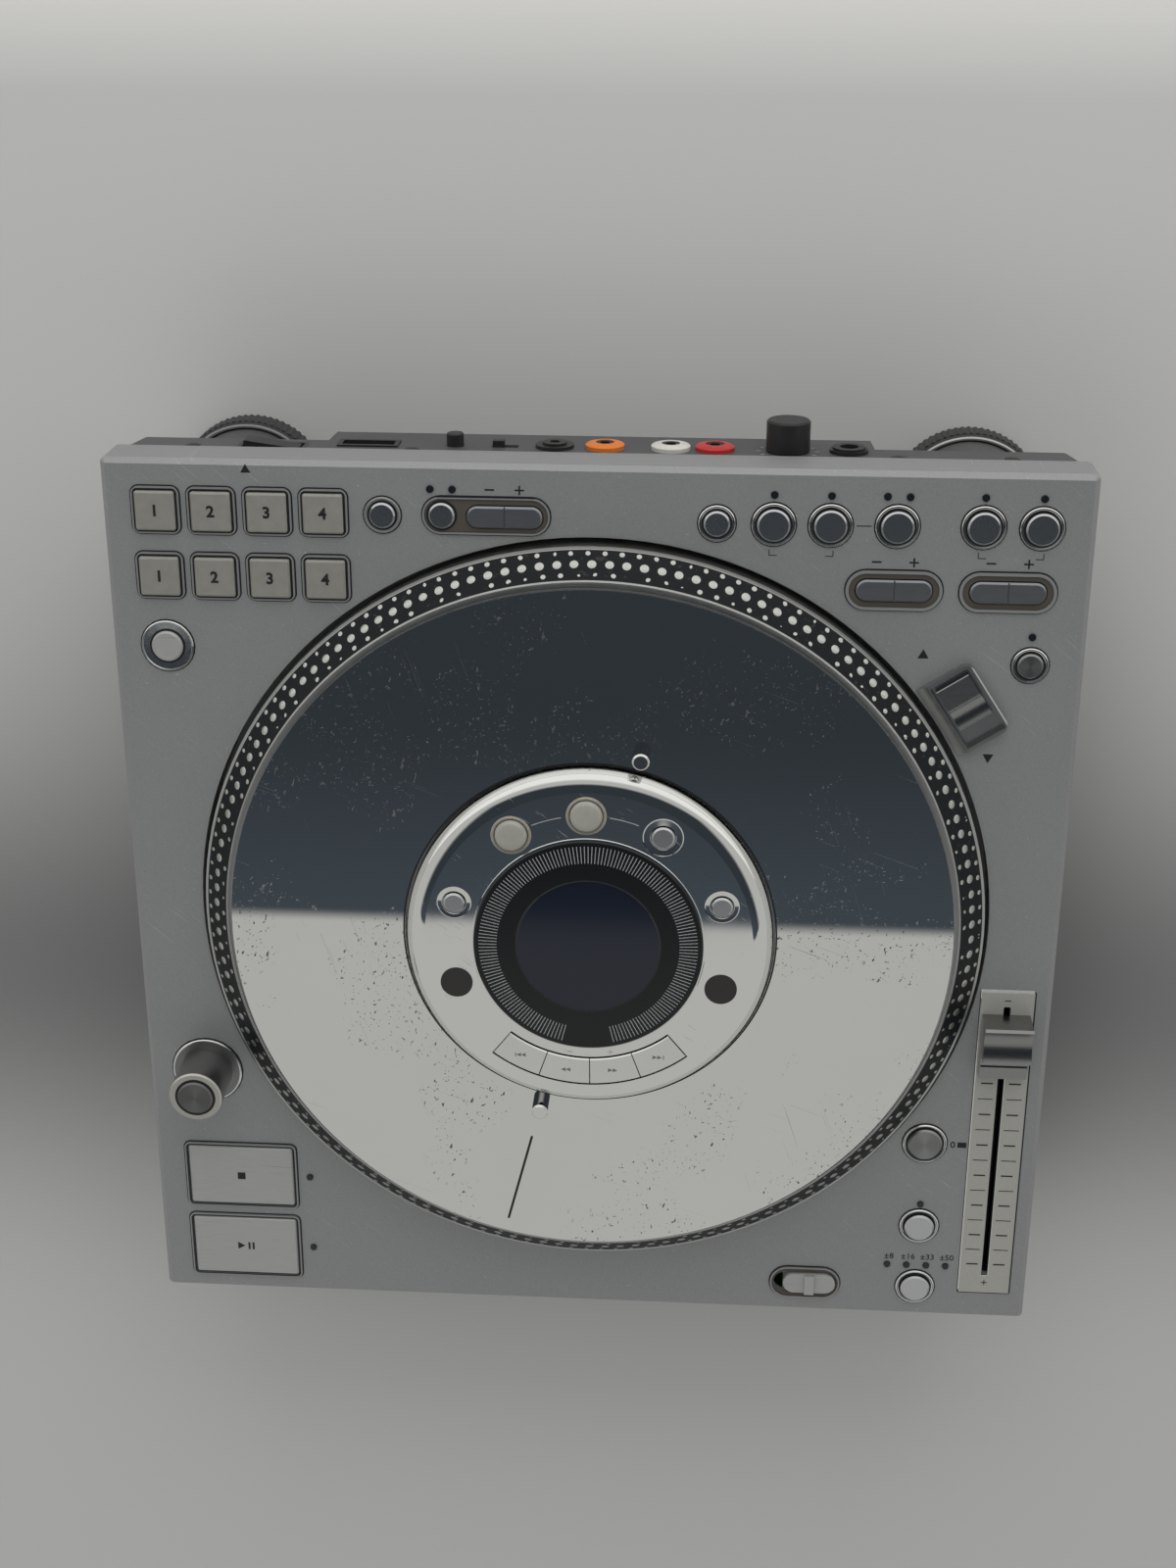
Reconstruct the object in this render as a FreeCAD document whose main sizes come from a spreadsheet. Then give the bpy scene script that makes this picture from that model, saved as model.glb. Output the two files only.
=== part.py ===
import FreeCAD, Part
import math
import os

import Sketcher

# A tabletop player for discs with a ten-inch spinning control platter, as an assembly.
# Frame: +Z up, the feet stand on Z = 0, +Y is the rear, and the origin is at the centre of
# the outline seen from above. Lengths are in millimetres, angles in degrees.

SIZES = {
    # Disc, platter and the well it turns in
    "disc_radius": 127.3,
    "disc_thickness": 1.8,
    "disc_bore": 65.4,
    "slipmat_thickness": 0.8,
    "disc_edge_gap": 1.5,
    "rim_land": 0.6,
    "rim_step": 0.4,
    "strobe_run": 8.9,
    "strobe_drop": 8.6,
    "lip_width": 0.8,
    "lip_height": 6.0,
    "platter_wall": 5.0,
    "web_height": 12.4,
    "web_thickness": 5.0,
    "skirt_drop": 8.0,
    "well_gap": 2.0,
    "well_depth": 12.0,
    "peg_radius": 3.0,
    "peg_height": 6.0,
    "peg_circle": 71.0,
    "peg_angle": 75.7,
    # Motor, its bearing and the fixed post
    "post_radius": 29.7,
    "bearing_gap": 0.3,
    "bearing_height": 10.0,
    "bearing_land": 7.5,
    "cable_bore": 20.0,
    "stator_radius": 58.0,
    "stator_width": 18.0,
    "stator_height": 15.0,
    "magnet_gap": 2.0,
    "magnet_width": 8.0,
    "magnet_drop": 7.0,
    "carrier_thickness": 1.0,
    "carrier_gap": 0.6,
    # Fixed hub on the post
    "hub_edge_gap": 0.8,
    "hub_face_height": 22.0,
    "hub_edge_height": 15.0,
    "hub_plate": 1.5,
    "hub_wall": 6.0,
    "bezel_radius": 40.3,
    "bezel_height": 1.3,
    "bezel_collar": 1.1,
    "window_radius": 24.8,
    "window_step": 0.6,
    "hub_button_circle": 49.2,
    "out_angle": 90.9,
    "in_angle": 122.8,
    "reloop_angle": 58.6,
    "left_angle": 162.0,
    "right_angle": 19.5,
    "left_plug_angle": 199.0,
    "right_plug_angle": -18.5,
    "plug_radius": 5.7,
    "plug_height": 0.25,
    "arc_inner": 45.0,
    "arc_outer": 55.2,
    "arc_start": -128.0,
    "arc_span": 19.4,
    "arc_gap_angle": 0.4,
    "arc_gap": 0.6,
    "loop_cap": 5.6,
    "reloop_cap": 4.0,
    "hub_cap": 3.75,
    # Upper cover
    "deck_height": 86.5,
    "side_margin": 24.8,
    "front_margin": 24.2,
    "rear_margin": 24.2,
    "cover_wall": 2.5,
    "cover_skirt": 18.7,
    "cover_chamfer": 1.8,
    "cover_corner": 2.0,
    # Lower cover
    "base_inset": 0.6,
    "base_taper": 4.0,
    "base_drop": 17.8,
    "base_wall": 3.0,
    "base_corner": 3.0,
    "rear_inset": 1.5,
    "pan_half_width": 94.5,
    "pan_wall": 2.2,
    "pan_drop": 12.8,
    "pan_taper": 0.8,
    "pan_setback": 4.0,
    "boss_radius": 24.5,
    "boss_inset_x": 34.2,
    "boss_inset_y": 31.5,
    "boss_wall": 3.5,
    "vent_length": 60.0,
    "vent_width": 3.0,
    "vent_pitch": 9.0,
    # Feet
    "foot_wall": 2.0,
    "foot_gap": 0.5,
    "foot_height": 12.5,
    "foot_floor": 6.0,
    "foot_bevel": 1.2,
    "stud_radius": 4.0,
    "stud_gap": 0.1,
    "stud_length": 12.0,
    # Fits shared by the push buttons
    "button_gap": 0.35,
    "stop_gap": 0.1,
    "flange_reach": 0.9,
    "flange_thickness": 1.0,
    "button_travel": 1.0,
    "hub_travel": 0.7,
    "switch_gap": 0.2,
    "switch_side": 6.0,
    "switch_height": 3.5,
    "hub_switch_height": 1.8,
    "board_thickness": 1.6,
    "hub_board_thickness": 1.0,
    "board_margin": 1.5,
    "cap_bevel": 0.6,
    "ring_height": 0.8,
    "ring_chamfer": 0.3,
    "ring_lip": 0.45,
    "ring_dish": 0.5,
    "surround_lip": 1.0,
    "recess_lip": 0.6,
    "lamp_radius": 1.2,
    "lamp_gap": 0.1,
    "lamp_rise": 0.6,
    # Performance pads at the rear left
    "pad_side": 13.5,
    "pad_corner": 0.8,
    "pad_frame_corner": 2.7,
    "pad_rise": 2.2,
    "pad_pitch": 19.0,
    "pad_row_pitch": 22.9,
    "pad_frame": 1.05,
    "pad_across": -9.1,
    "pad_along": 25.1,
    # Round push buttons: cap radius, ring radius and how far the cap stands up
    "small_cap": 4.4,
    "small_ring": 6.2,
    "small_rise": 1.6,
    "large_cap": 5.5,
    "large_ring": 7.3,
    "large_rise": 2.2,
    "reset_cap": 6.35,
    "reset_ring": 8.1,
    "record_cap": 5.4,
    "record_ring": 9.1,
    # Places of the controls from the nearest diagonal point of the well's edge
    "memory_across": -29.0,
    "memory_along": 47.7,
    "edit_across": -49.0,
    "edit_along": 48.0,
    "trim_across": -70.1,
    "trim_along": 47.7,
    "record_across": 47.2,
    "record_along": -0.2,
    "execute_across": -58.7,
    "execute_along": 47.0,
    "load_across": -39.9,
    "load_along": 47.0,
    "save_across": -21.1,
    "save_along": 47.0,
    "panel_across": 0.9,
    "panel_along": 47.1,
    "effect_1_across": 29.2,
    "effect_1_along": 47.3,
    "effect_2_across": 48.3,
    "effect_2_along": 47.3,
    "instant_across": 48.0,
    "instant_along": -0.3,
    "bank_across": 0.9,
    "bank_along": 25.1,
    "type_across": 38.7,
    "type_along": 25.1,
    "post_across": 44.2,
    "post_along": -32.0,
    "cue_across": 33.9,
    "cue_along": 13.6,
    "play_along": 45.2,
    "reset_across": 24.3,
    "reset_along": -11.1,
    "lock_across": 24.3,
    "lock_along": 25.0,
    "range_across": 24.3,
    "range_along": 52.3,
    "mode_across": -17.6,
    "mode_along": 52.4,
    "fader_across": 50.1,
    "fader_along": -11.8,
    # Two-way rocker keys
    "rocker_length": 25.4,
    "rocker_width": 7.5,
    "rocker_corner": 3.6,
    "rocker_rise": 1.4,
    "rocker_depth": 4.0,
    "surround_length": 32.2,
    "surround_width": 13.7,
    "surround_corner": 6.7,
    "recess_length": 42.8,
    "recess_width": 12.7,
    "recess_corner": 6.2,
    "recess_offset": 6.2,
    "notch_width": 0.5,
    "notch_depth": 0.5,
    # Cue and play keys
    "key_length": 40.0,
    "key_width": 25.3,
    "key_corner": 1.0,
    "key_rise": 0.9,
    "key_frame": 1.0,
    # Mode slider
    "slider_length": 19.8,
    "slider_width": 8.4,
    "slider_corner": 4.1,
    "slider_rise": 1.2,
    "slider_travel": 3.3,
    "slider_ridge": 3.6,
    "ridge_rise": 1.4,
    # Pitch fader
    "fader_plate_width": 19.1,
    "fader_plate_length": 128.9,
    "fader_plate_height": 0.4,
    "slot_width": 2.6,
    "slot_length": 115.4,
    "fader_offset": 42.2,
    "fader_length": 24.5,
    "fader_width": 17.2,
    "fader_step": 10.0,
    "fader_low": 6.0,
    "fader_top": 13.0,
    "fader_lift": 0.6,
    "saddle_radius": 10.0,
    "saddle_depth": 2.4,
    "lever_width": 1.8,
    "lever_length": 8.0,
    "lever_shift": 4.6,
    "lever_depth": 9.0,
    "track_width": 14.0,
    "track_height": 8.0,
    "track_margin": 4.0,
    # Free-wheel post and its push cap
    "base_ring_radius": 13.0,
    "base_ring_height": 1.0,
    "post_cap_radius": 6.5,
    "post_outer": 9.75,
    "post_height": 20.6,
    "post_cap_rise": 0.9,
    "post_cap_depth": 6.0,
    "post_travel": 1.5,
    # Direction switch beside the well
    "direction_angle": 33.5,
    "direction_reach": 10.6,
    "direction_length": 28.0,
    "direction_width": 20.5,
    "direction_rise": 3.2,
    "direction_corner": 3.4,
    "direction_ramp": 4.0,
    "direction_edge": 0.5,
    "recess_inset": 1.3,
    "direction_recess": 2.2,
    "thumb_length": 8.0,
    "thumb_width": 12.4,
    "thumb_rise": 3.4,
    "thumb_tail": 8.5,
    "thumb_hollow": 5.6,
    "thumb_floor": 1.5,
    "thumb_end_gap": 2.0,
    # Front slot, eject key and disc drive
    "slot_half_width": 64.0,
    "slot_height": 5.6,
    "slot_level": 29.5,
    "drive_half_width": 76.0,
    "drive_length": 190.0,
    "drive_height": 16.0,
    "drive_gap": 0.5,
    "drive_post_radius": 4.0,
    "drive_bay_depth": 132.0,
    "pickup_recess": 3.0,
    "pickup_radius": 40.0,
    "spindle_radius": 11.0,
    "eject_across": 88.0,
    "eject_length": 12.0,
    "eject_height": 5.0,
    "eject_rise": 1.0,
    "eject_depth": 8.0,
    "eject_travel": 1.0,
    # Rear connectors, each from the middle of the rear wall and below the deck
    "jack_level": 32.0,
    "headphone_across": 85.4,
    "headphone_radius": 5.6,
    "headphone_bore": 3.2,
    "volume_across": 64.6,
    "volume_radius": 7.5,
    "volume_reach": 11.0,
    "knob_gap": 0.4,
    "shaft_radius": 3.0,
    "shaft_gap": 0.1,
    "red_across": 39.7,
    "white_across": 24.6,
    "orange_across": 2.0,
    "phono_radius": 4.15,
    "phono_bore": 1.8,
    "phono_reach": 2.0,
    "jack_flange": 6.6,
    "jack_flange_thickness": 1.2,
    "jack_depth": 9.0,
    "jack_back": 1.5,
    "control_across": -15.3,
    "control_bore": 1.8,
    "rear_switch_across": -32.4,
    "rear_switch_length": 9.0,
    "rear_switch_height": 4.0,
    "rear_slider_length": 4.0,
    "rear_slider_reach": 2.2,
    "brake_across": -49.7,
    "brake_radius": 3.0,
    "brake_reach": 4.5,
    "inlet_across": -79.7,
    "inlet_width": 21.2,
    "inlet_height": 9.0,
    "inlet_depth": 14.0,
    "inlet_wall": 1.6,
    "power_across": -112.5,
    "power_length": 19.0,
    "power_height": 7.6,
    "power_depth": 5.0,
    "power_tilt": 8.0,
    "power_gap": 1.0,
    "power_clear": 0.5,
    "power_frame": 1.5,
    "power_level": 27.4,
    "power_board_length": 90.0,
    "power_board_width": 60.0,
    "main_board_length": 150.0,
    "main_board_width": 60.0,
    "standoff": 4.0,
    "board_post_radius": 2.5,
}


class Size:
    """A size with its present value and the sheet expression that gives it."""

    def __init__(self, value, text):
        self.value = float(value)
        self.text = text

    def __add__(self, other):
        other = as_size(other)
        return Size(self.value + other.value, f"({self.text} + {other.text})")

    def __radd__(self, other):
        return as_size(other) + self

    def __sub__(self, other):
        other = as_size(other)
        return Size(self.value - other.value, f"({self.text} - {other.text})")

    def __rsub__(self, other):
        return as_size(other) - self

    def __mul__(self, other):
        other = as_size(other)
        return Size(self.value * other.value, f"({self.text} * {other.text})")

    def __rmul__(self, other):
        return as_size(other) * self

    def __truediv__(self, other):
        other = as_size(other)
        return Size(self.value / other.value, f"({self.text} / {other.text})")

    def __neg__(self):
        return Size(-self.value, f"(0 - {self.text})")


def as_size(number):
    """A plain number taken as a size."""
    if isinstance(number, Size):
        return number
    return Size(number, repr(float(number)))


def cosine(angle):
    return Size(math.cos(math.radians(angle.value)), f"cos({angle.text})")


def sine(angle):
    return Size(math.sin(math.radians(angle.value)), f"sin({angle.text})")


def bind(item, name, target):
    """Bind one property of an object to the sheet."""
    item.setExpression(name, as_size(target).text)


doc = FreeCAD.newDocument("disc_player")
sheet = doc.addObject("Spreadsheet::Sheet", "Sheet")
for row, (alias, number) in enumerate(SIZES.items(), start=1):
    sheet.set(f"A{row}", alias)
    sheet.set(f"B{row}", str(number))
    sheet.setAlias(f"B{row}", alias)
doc.recompute()


class Cells:
    """The sheet's cells by name."""

    def __getattr__(self, name):
        return Size(SIZES[name], f"Sheet.{name}")


dim = Cells()
nodes = []

# Sizes that follow from the driving ones; heights are counted from the deck's top face
recess_radius = dim.disc_radius + dim.disc_edge_gap
rim_radius = recess_radius + dim.rim_land
rim_top = dim.web_height + dim.rim_step
strobe_radius = rim_radius + dim.strobe_run
lip_top = rim_top - dim.strobe_drop
platter_radius = strobe_radius + dim.lip_width
well_radius = platter_radius + dim.well_gap
corner = well_radius * math.sqrt(0.5)
deck_side = well_radius + dim.side_margin
deck_front = -(well_radius + dim.front_margin)
deck_rear = well_radius + dim.rear_margin
rear_face = deck_rear - dim.rear_inset
rear_reach = rear_face + dim.volume_reach
# The outline's middle lies on the origin, so the deck's centre is moved forward by this much
deck_shift = (deck_front + rear_reach) / -2
cap_under = -(dim.cover_wall + dim.stop_gap)
cap_bottom = cap_under - dim.flange_thickness
switch_top = cap_bottom - dim.button_travel - dim.switch_gap
board_top = switch_top - dim.switch_height
floor_top = -dim.well_depth
floor_under = floor_top - dim.cover_wall
base_top = -dim.cover_skirt
base_low = base_top - dim.base_drop
pan_low = base_low - dim.pan_drop
boss_low = dim.foot_floor - dim.deck_height
jack_height = -dim.jack_level
power_height = -dim.power_level
carrier_low = dim.web_height + dim.carrier_gap
carrier_top = carrier_low + dim.carrier_thickness
hub_under = dim.hub_face_height - dim.hub_plate


def new_body(label):
    """A body whose features may be several separate solids."""
    body = doc.addObject("PartDesign::Body", label)
    body.Label = label
    body.AllowCompound = True
    return body


def place(item, across=0, along=0, height=0, deck=True):
    """Place an object by its X, Y and Z from the deck's centre and top face."""
    bind(item, "Placement.Base.x", across)
    bind(item, "Placement.Base.y", along + deck_shift)
    bind(item, "Placement.Base.z", height + dim.deck_height if deck else height)


def turn(item, axis, angle):
    """Turn an object about an axis through its own origin by a fixed angle."""
    item.Placement = FreeCAD.Placement(FreeCAD.Vector(), FreeCAD.Rotation(axis, angle))


X_AXIS = FreeCAD.Vector(1, 0, 0)
Y_AXIS = FreeCAD.Vector(0, 1, 0)
Z_AXIS = FreeCAD.Vector(0, 0, 1)


def new_sketch(body, name, role="XY_Plane", offset=0, angle=None):
    """A sketch on one of the body's own planes, moved along the plane's normal."""
    sketch = body.newObject("Sketcher::SketchObject", name)
    plane = next(item for item in body.Origin.OriginFeatures if item.Role == role)
    sketch.AttachmentSupport = [(plane, "")]
    sketch.MapMode = "FlatFace"
    if angle is not None:
        sketch.AttachmentOffset = FreeCAD.Placement(
            FreeCAD.Vector(), FreeCAD.Rotation(Y_AXIS, angle.value)
        )
        bind(sketch, "AttachmentOffset.Rotation.Angle", angle)
    bind(sketch, "AttachmentOffset.Base.z", offset)
    return sketch


waiting = {}


def join_ends(sketch, places):
    """Two ends of the outline that meet."""
    waiting.setdefault(sketch.Name, []).append((Sketcher.Constraint("Coincident", *places), None))


def hold(sketch, kind, places, target):
    """A dimension of the sketch, to be bound to the sheet."""
    target = as_size(target)
    constraint = Sketcher.Constraint(kind, *places, target.value)
    waiting.setdefault(sketch.Name, []).append((constraint, target.text))


def settle(sketch):
    """Give the sketch all its constraints at once, then bind them to the sheet."""
    rows = waiting.pop(sketch.Name)
    sketch.addConstraint([constraint for constraint, text in rows])
    for index, (constraint, text) in enumerate(rows):
        if text and "Sheet" in text:
            sketch.setExpression(f"Constraints[{index}]", text)


def hold_point(sketch, geometry, point, across, along):
    hold(sketch, "DistanceX", (-1, 1, geometry, point), across)
    hold(sketch, "DistanceY", (-1, 1, geometry, point), along)


def spot(across, along):
    return FreeCAD.Vector(as_size(across).value, as_size(along).value, 0)


def polygon(sketch, corners):
    """A closed outline of straight sides."""
    first = sketch.GeometryCount
    count = len(corners)
    points = [spot(*item) for item in corners]
    for index in range(count):
        sketch.addGeometry(Part.LineSegment(points[index], points[(index + 1) % count]))
    for index in range(count):
        following = first + (index + 1) % count
        join_ends(sketch, (first + index, 2, following, 1))
    for index, (across, along) in enumerate(corners):
        hold_point(sketch, first + index, 1, across, along)


def rectangle(sketch, left, right, front, rear, radius=None):
    """A rectangle between two X and two Y values, with round corners if a radius is given."""
    if radius is None:
        polygon(sketch, [(left, front), (right, front), (right, rear), (left, rear)])
        return
    first = sketch.GeometryCount
    sides = [
        ((left + radius, front), (right - radius, front)),
        ((right, front + radius), (right, rear - radius)),
        ((right - radius, rear), (left + radius, rear)),
        ((left, rear - radius), (left, front + radius)),
    ]
    centres = [
        (right - radius, front + radius),
        (right - radius, rear - radius),
        (left + radius, rear - radius),
        (left + radius, front + radius),
    ]
    for start, end in sides:
        sketch.addGeometry(Part.LineSegment(spot(*start), spot(*end)))
    for index, centre in enumerate(centres):
        round_corner = Part.Circle(spot(*centre), Z_AXIS, as_size(radius).value)
        begin = math.radians(90 * index - 90)
        sketch.addGeometry(Part.ArcOfCircle(round_corner, begin, begin + math.pi / 2))
    for index in range(4):
        arc = first + 4 + index
        following = first + (index + 1) % 4
        join_ends(sketch, (first + index, 2, arc, 1))
        join_ends(sketch, (arc, 2, following, 1))
    for index, (start, end) in enumerate(sides):
        hold_point(sketch, first + index, 1, *start)
        hold_point(sketch, first + index, 2, *end)
        hold(sketch, "Radius", (first + 4 + index,), radius)


def circle(sketch, across, along, radius):
    shape = Part.Circle(spot(across, along), Z_AXIS, as_size(radius).value)
    index = sketch.addGeometry(shape)
    hold_point(sketch, index, 3, across, along)
    hold(sketch, "Radius", (index,), radius)


def pad(body, sketch, length, down=False):
    settle(sketch)
    feature = body.newObject("PartDesign::Pad", sketch.Name + "_pad")
    feature.Profile = sketch
    bind(feature, "Length", length)
    feature.Reversed = down
    return feature


def pocket(body, sketch, depth, up=False):
    """Cut along the sketch plane's negative side, or its positive side if up is set."""
    settle(sketch)
    feature = body.newObject("PartDesign::Pocket", sketch.Name + "_pocket")
    feature.Profile = sketch
    bind(feature, "Length", depth)
    feature.Reversed = up
    return feature


def revolve(body, sketch, kind="Revolution", angle=None):
    """Turn the sketch about its own vertical axis."""
    settle(sketch)
    feature = body.newObject("PartDesign::" + kind, sketch.Name + "_turned")
    feature.Profile = sketch
    feature.ReferenceAxis = (sketch, ["V_Axis"])
    if angle is None:
        feature.Angle = 360
    else:
        bind(feature, "Angle", angle)
    return feature


def loft(body, lower, upper, kind="AdditiveLoft"):
    settle(lower)
    settle(upper)
    feature = body.newObject("PartDesign::" + kind, lower.Name + "_loft")
    feature.Profile = lower
    feature.Sections = [upper]
    feature.Ruled = True
    return feature


def dress(body, base, kind, size_name, target, chosen):
    """Chamfer or fillet the edges of a feature that a test picks."""
    doc.recompute([base.Profile[0], base])
    names = [
        f"Edge{index}" for index, edge in enumerate(base.Shape.Edges, start=1) if chosen(edge)
    ]
    feature = body.newObject("PartDesign::" + kind, base.Name + "_edge")
    feature.Base = (base, names)
    bind(feature, size_name, target)
    return feature


def flat_at(height, tolerance=1e-4):
    """A test for edges that lie in one level."""
    level = as_size(height).value

    def chosen(edge):
        box = edge.BoundBox
        return abs(box.ZMin - level) < tolerance and abs(box.ZMax - level) < tolerance

    return chosen


def keep(item, label):
    """Note an object as one of the assembly's nodes."""
    item.Label = label
    nodes.append(item)
    return item


def group(label, members):
    """A node that is a group of separate pieces."""
    item = doc.addObject("Part::Compound", label)
    item.Links = members
    return keep(item, label)


# Places of the controls, each as X and Y from the deck's centre

def control_place(name, side, end):
    """The place of a control from the diagonal point of the well's edge on its own corner."""
    across = Size(SIZES[name + "_across"], f"Sheet.{name}_across")
    along = Size(SIZES[name + "_along"], f"Sheet.{name}_along")
    return side * (corner + across), end * (corner + along)


def round_hub_place(angle):
    return dim.hub_button_circle * cosine(angle), dim.hub_button_circle * sine(angle)


LEFT = -1
RIGHT = 1
REAR = 1
FRONT = -1

round_controls = {
    "memory_button": ("memory", LEFT, REAR, "small"),
    "edit_button": ("edit", LEFT, REAR, "small"),
    "record_button": ("record", LEFT, REAR, "record"),
    "execute_button": ("execute", RIGHT, REAR, "small"),
    "load_button": ("load", RIGHT, REAR, "large"),
    "save_button": ("save", RIGHT, REAR, "large"),
    "panel_button": ("panel", RIGHT, REAR, "large"),
    "effect_1_button": ("effect_1", RIGHT, REAR, "large"),
    "effect_2_button": ("effect_2", RIGHT, REAR, "large"),
    "instant_button": ("instant", RIGHT, REAR, "small"),
    "reset_button": ("reset", RIGHT, FRONT, "reset"),
    "lock_button": ("lock", RIGHT, FRONT, "large"),
    "range_button": ("range", RIGHT, FRONT, "large"),
}
cap_radii = {
    "small": dim.small_cap,
    "large": dim.large_cap,
    "reset": dim.reset_cap,
    "record": dim.record_cap,
}
ring_radii = {
    "small": dim.small_ring,
    "large": dim.large_ring,
    "reset": dim.reset_ring,
    "record": dim.record_ring,
}
cap_rises = {
    "small": dim.small_rise,
    "large": dim.large_rise,
    "reset": dim.small_rise,
    "record": dim.small_rise,
}
round_places = {
    label: control_place(name, side, end)
    for label, (name, side, end, kind) in round_controls.items()
}
rocker_places = {
    "trim_rocker": control_place("trim", LEFT, REAR),
    "bank_rocker": control_place("bank", RIGHT, REAR),
    "type_rocker": control_place("type", RIGHT, REAR),
}
pad_places = {}
for pad_row in range(2):
    for column in range(4):
        pad_across = -(corner + dim.pad_across + (3 - column) * dim.pad_pitch)
        pad_along = corner + dim.pad_along + (1 - pad_row) * dim.pad_row_pitch
        pad_places[f"pad_{4 * pad_row + column + 1}"] = (pad_across, pad_along)
cue_place = control_place("cue", LEFT, FRONT)
key_places = {
    "cue_key": cue_place,
    "play_key": (cue_place[0], -(corner + dim.play_along)),
}
mode_place = control_place("mode", RIGHT, FRONT)
fader_place = control_place("fader", RIGHT, FRONT)
post_place = control_place("post", LEFT, FRONT)
direction_radius = well_radius + dim.direction_reach
direction_place = (
    direction_radius * cosine(dim.direction_angle),
    direction_radius * sine(dim.direction_angle),
)
load_place = round_places["load_button"]
save_place = round_places["save_button"]
panel_place = round_places["panel_button"]
lamp_above = 10.0
lamp_places = [
    (round_places["edit_button"][0] - 3.8, round_places["edit_button"][1] + 8.8),
    (round_places["edit_button"][0] + 3.6, round_places["edit_button"][1] + 8.8),
    (load_place[0], load_place[1] + lamp_above),
    (save_place[0], save_place[1] + lamp_above),
    (panel_place[0] - 3.7, panel_place[1] + lamp_above),
    (panel_place[0] + 3.7, panel_place[1] + lamp_above),
    (round_places["effect_1_button"][0], round_places["effect_1_button"][1] + lamp_above),
    (round_places["effect_2_button"][0], round_places["effect_2_button"][1] + lamp_above),
    (round_places["instant_button"][0], round_places["instant_button"][1] + lamp_above),
    (key_places["cue_key"][0] + 26.2, key_places["cue_key"][1]),
    (key_places["play_key"][0] + 26.2, key_places["play_key"][1]),
    (round_places["lock_button"][0], round_places["lock_button"][1] + 9.5),
    (round_places["range_button"][0] - 11.0, round_places["range_button"][1] + 9.6),
    (round_places["range_button"][0] - 3.7, round_places["range_button"][1] + 9.6),
    (round_places["range_button"][0] + 3.7, round_places["range_button"][1] + 9.6),
    (round_places["range_button"][0] + 11.0, round_places["range_button"][1] + 9.6),
]
hub_places = {
    "out_button": (round_hub_place(dim.out_angle), dim.loop_cap),
    "in_button": (round_hub_place(dim.in_angle), dim.loop_cap),
    "reloop_button": (round_hub_place(dim.reloop_angle), dim.reloop_cap),
    "hub_left_button": (round_hub_place(dim.left_angle), dim.hub_cap),
    "hub_right_button": (round_hub_place(dim.right_angle), dim.hub_cap),
}


def centred(sketch, place_xy, length, width, radius=None):
    """A rectangle round a place."""
    across, along = place_xy
    rectangle(
        sketch,
        across - length / 2,
        across + length / 2,
        along - width / 2,
        along + width / 2,
        radius,
    )


# Upper cover

def make_top_cover():
    body = new_body("top_cover")
    outline = new_sketch(body, "deck_outline")
    rectangle(outline, -deck_side, deck_side, deck_front, deck_rear, dim.cover_corner)
    block = pad(body, outline, dim.cover_skirt, down=True)
    dress(body, block, "Chamfer", "Size", dim.cover_chamfer, flat_at(0))

    inside = new_sketch(body, "deck_inside", offset=-dim.cover_wall)
    wall = dim.cover_wall
    rectangle(inside, wall - deck_side, deck_side - wall, deck_front + wall, deck_rear - wall,
              dim.cover_corner - 1.5)
    pocket(body, inside, dim.cover_skirt)
    mouth = new_sketch(body, "well_mouth", offset=1)
    circle(mouth, 0, 0, well_radius + wall / 2)
    pocket(body, mouth, wall + 2)

    cup = new_sketch(body, "well_cup", "XZ_Plane")
    polygon(cup, [
        (well_radius, 0),
        (well_radius + wall, 0),
        (well_radius + wall, floor_under),
        (dim.cable_bore, floor_under),
        (dim.cable_bore, floor_top),
        (well_radius, floor_top),
    ])
    revolve(body, cup)

    gap = dim.button_gap

    def opening(name):
        return new_sketch(body, name, offset=1)

    caps = opening("button_openings")
    for label, (name, side, end, kind) in round_controls.items():
        circle(caps, *round_places[label], cap_radii[kind] + gap)
    circle(caps, *post_place, dim.post_cap_radius + gap)
    pocket(body, caps, wall + 2)
    lamps = opening("lamp_openings")
    for across, along in lamp_places:
        circle(lamps, across, along, dim.lamp_radius + dim.lamp_gap)
    pocket(body, lamps, wall + 2)
    for label, place_xy in pad_places.items():
        window = opening(label + "_opening")
        centred(window, place_xy, dim.pad_side + 2 * gap, dim.pad_side + 2 * gap)
        pocket(body, window, wall + 2)
    for label, place_xy in rocker_places.items():
        window = opening(label + "_opening")
        centred(window, place_xy, dim.rocker_length + 2 * gap, dim.rocker_width + 2 * gap)
        pocket(body, window, wall + 2)
    for label, place_xy in key_places.items():
        window = opening(label + "_opening")
        centred(window, place_xy, dim.key_length + 2 * gap, dim.key_width + 2 * gap)
        pocket(body, window, wall + 2)
    window = opening("mode_opening")
    centred(window, mode_place, dim.slider_length + dim.slider_travel + 2 * gap,
            dim.slider_width + 2 * gap, dim.slider_corner + gap)
    pocket(body, window, wall + 2)
    window = opening("fader_opening")
    centred(window, fader_place, dim.slot_width + 0.4, dim.slot_length)
    pocket(body, window, wall + 2)
    place(body)
    return keep(body, "top_cover")


def make_button_ring(label, place_xy, bore, outer):
    """A turned ring with a narrow lip and a dished face."""
    body = new_body(label)
    profile = new_sketch(body, label + "_profile", "XZ_Plane")
    high = dim.ring_height
    polygon(profile, [
        (bore, 0),
        (outer, 0),
        (outer, high - dim.ring_chamfer),
        (outer - dim.ring_chamfer, high),
        (outer - dim.ring_lip, high),
        (outer - dim.ring_lip - 0.3, high - 0.7 * dim.ring_dish),
        (bore, high - dim.ring_dish),
    ])
    revolve(body, profile)
    place(body, *place_xy)
    return body


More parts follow.
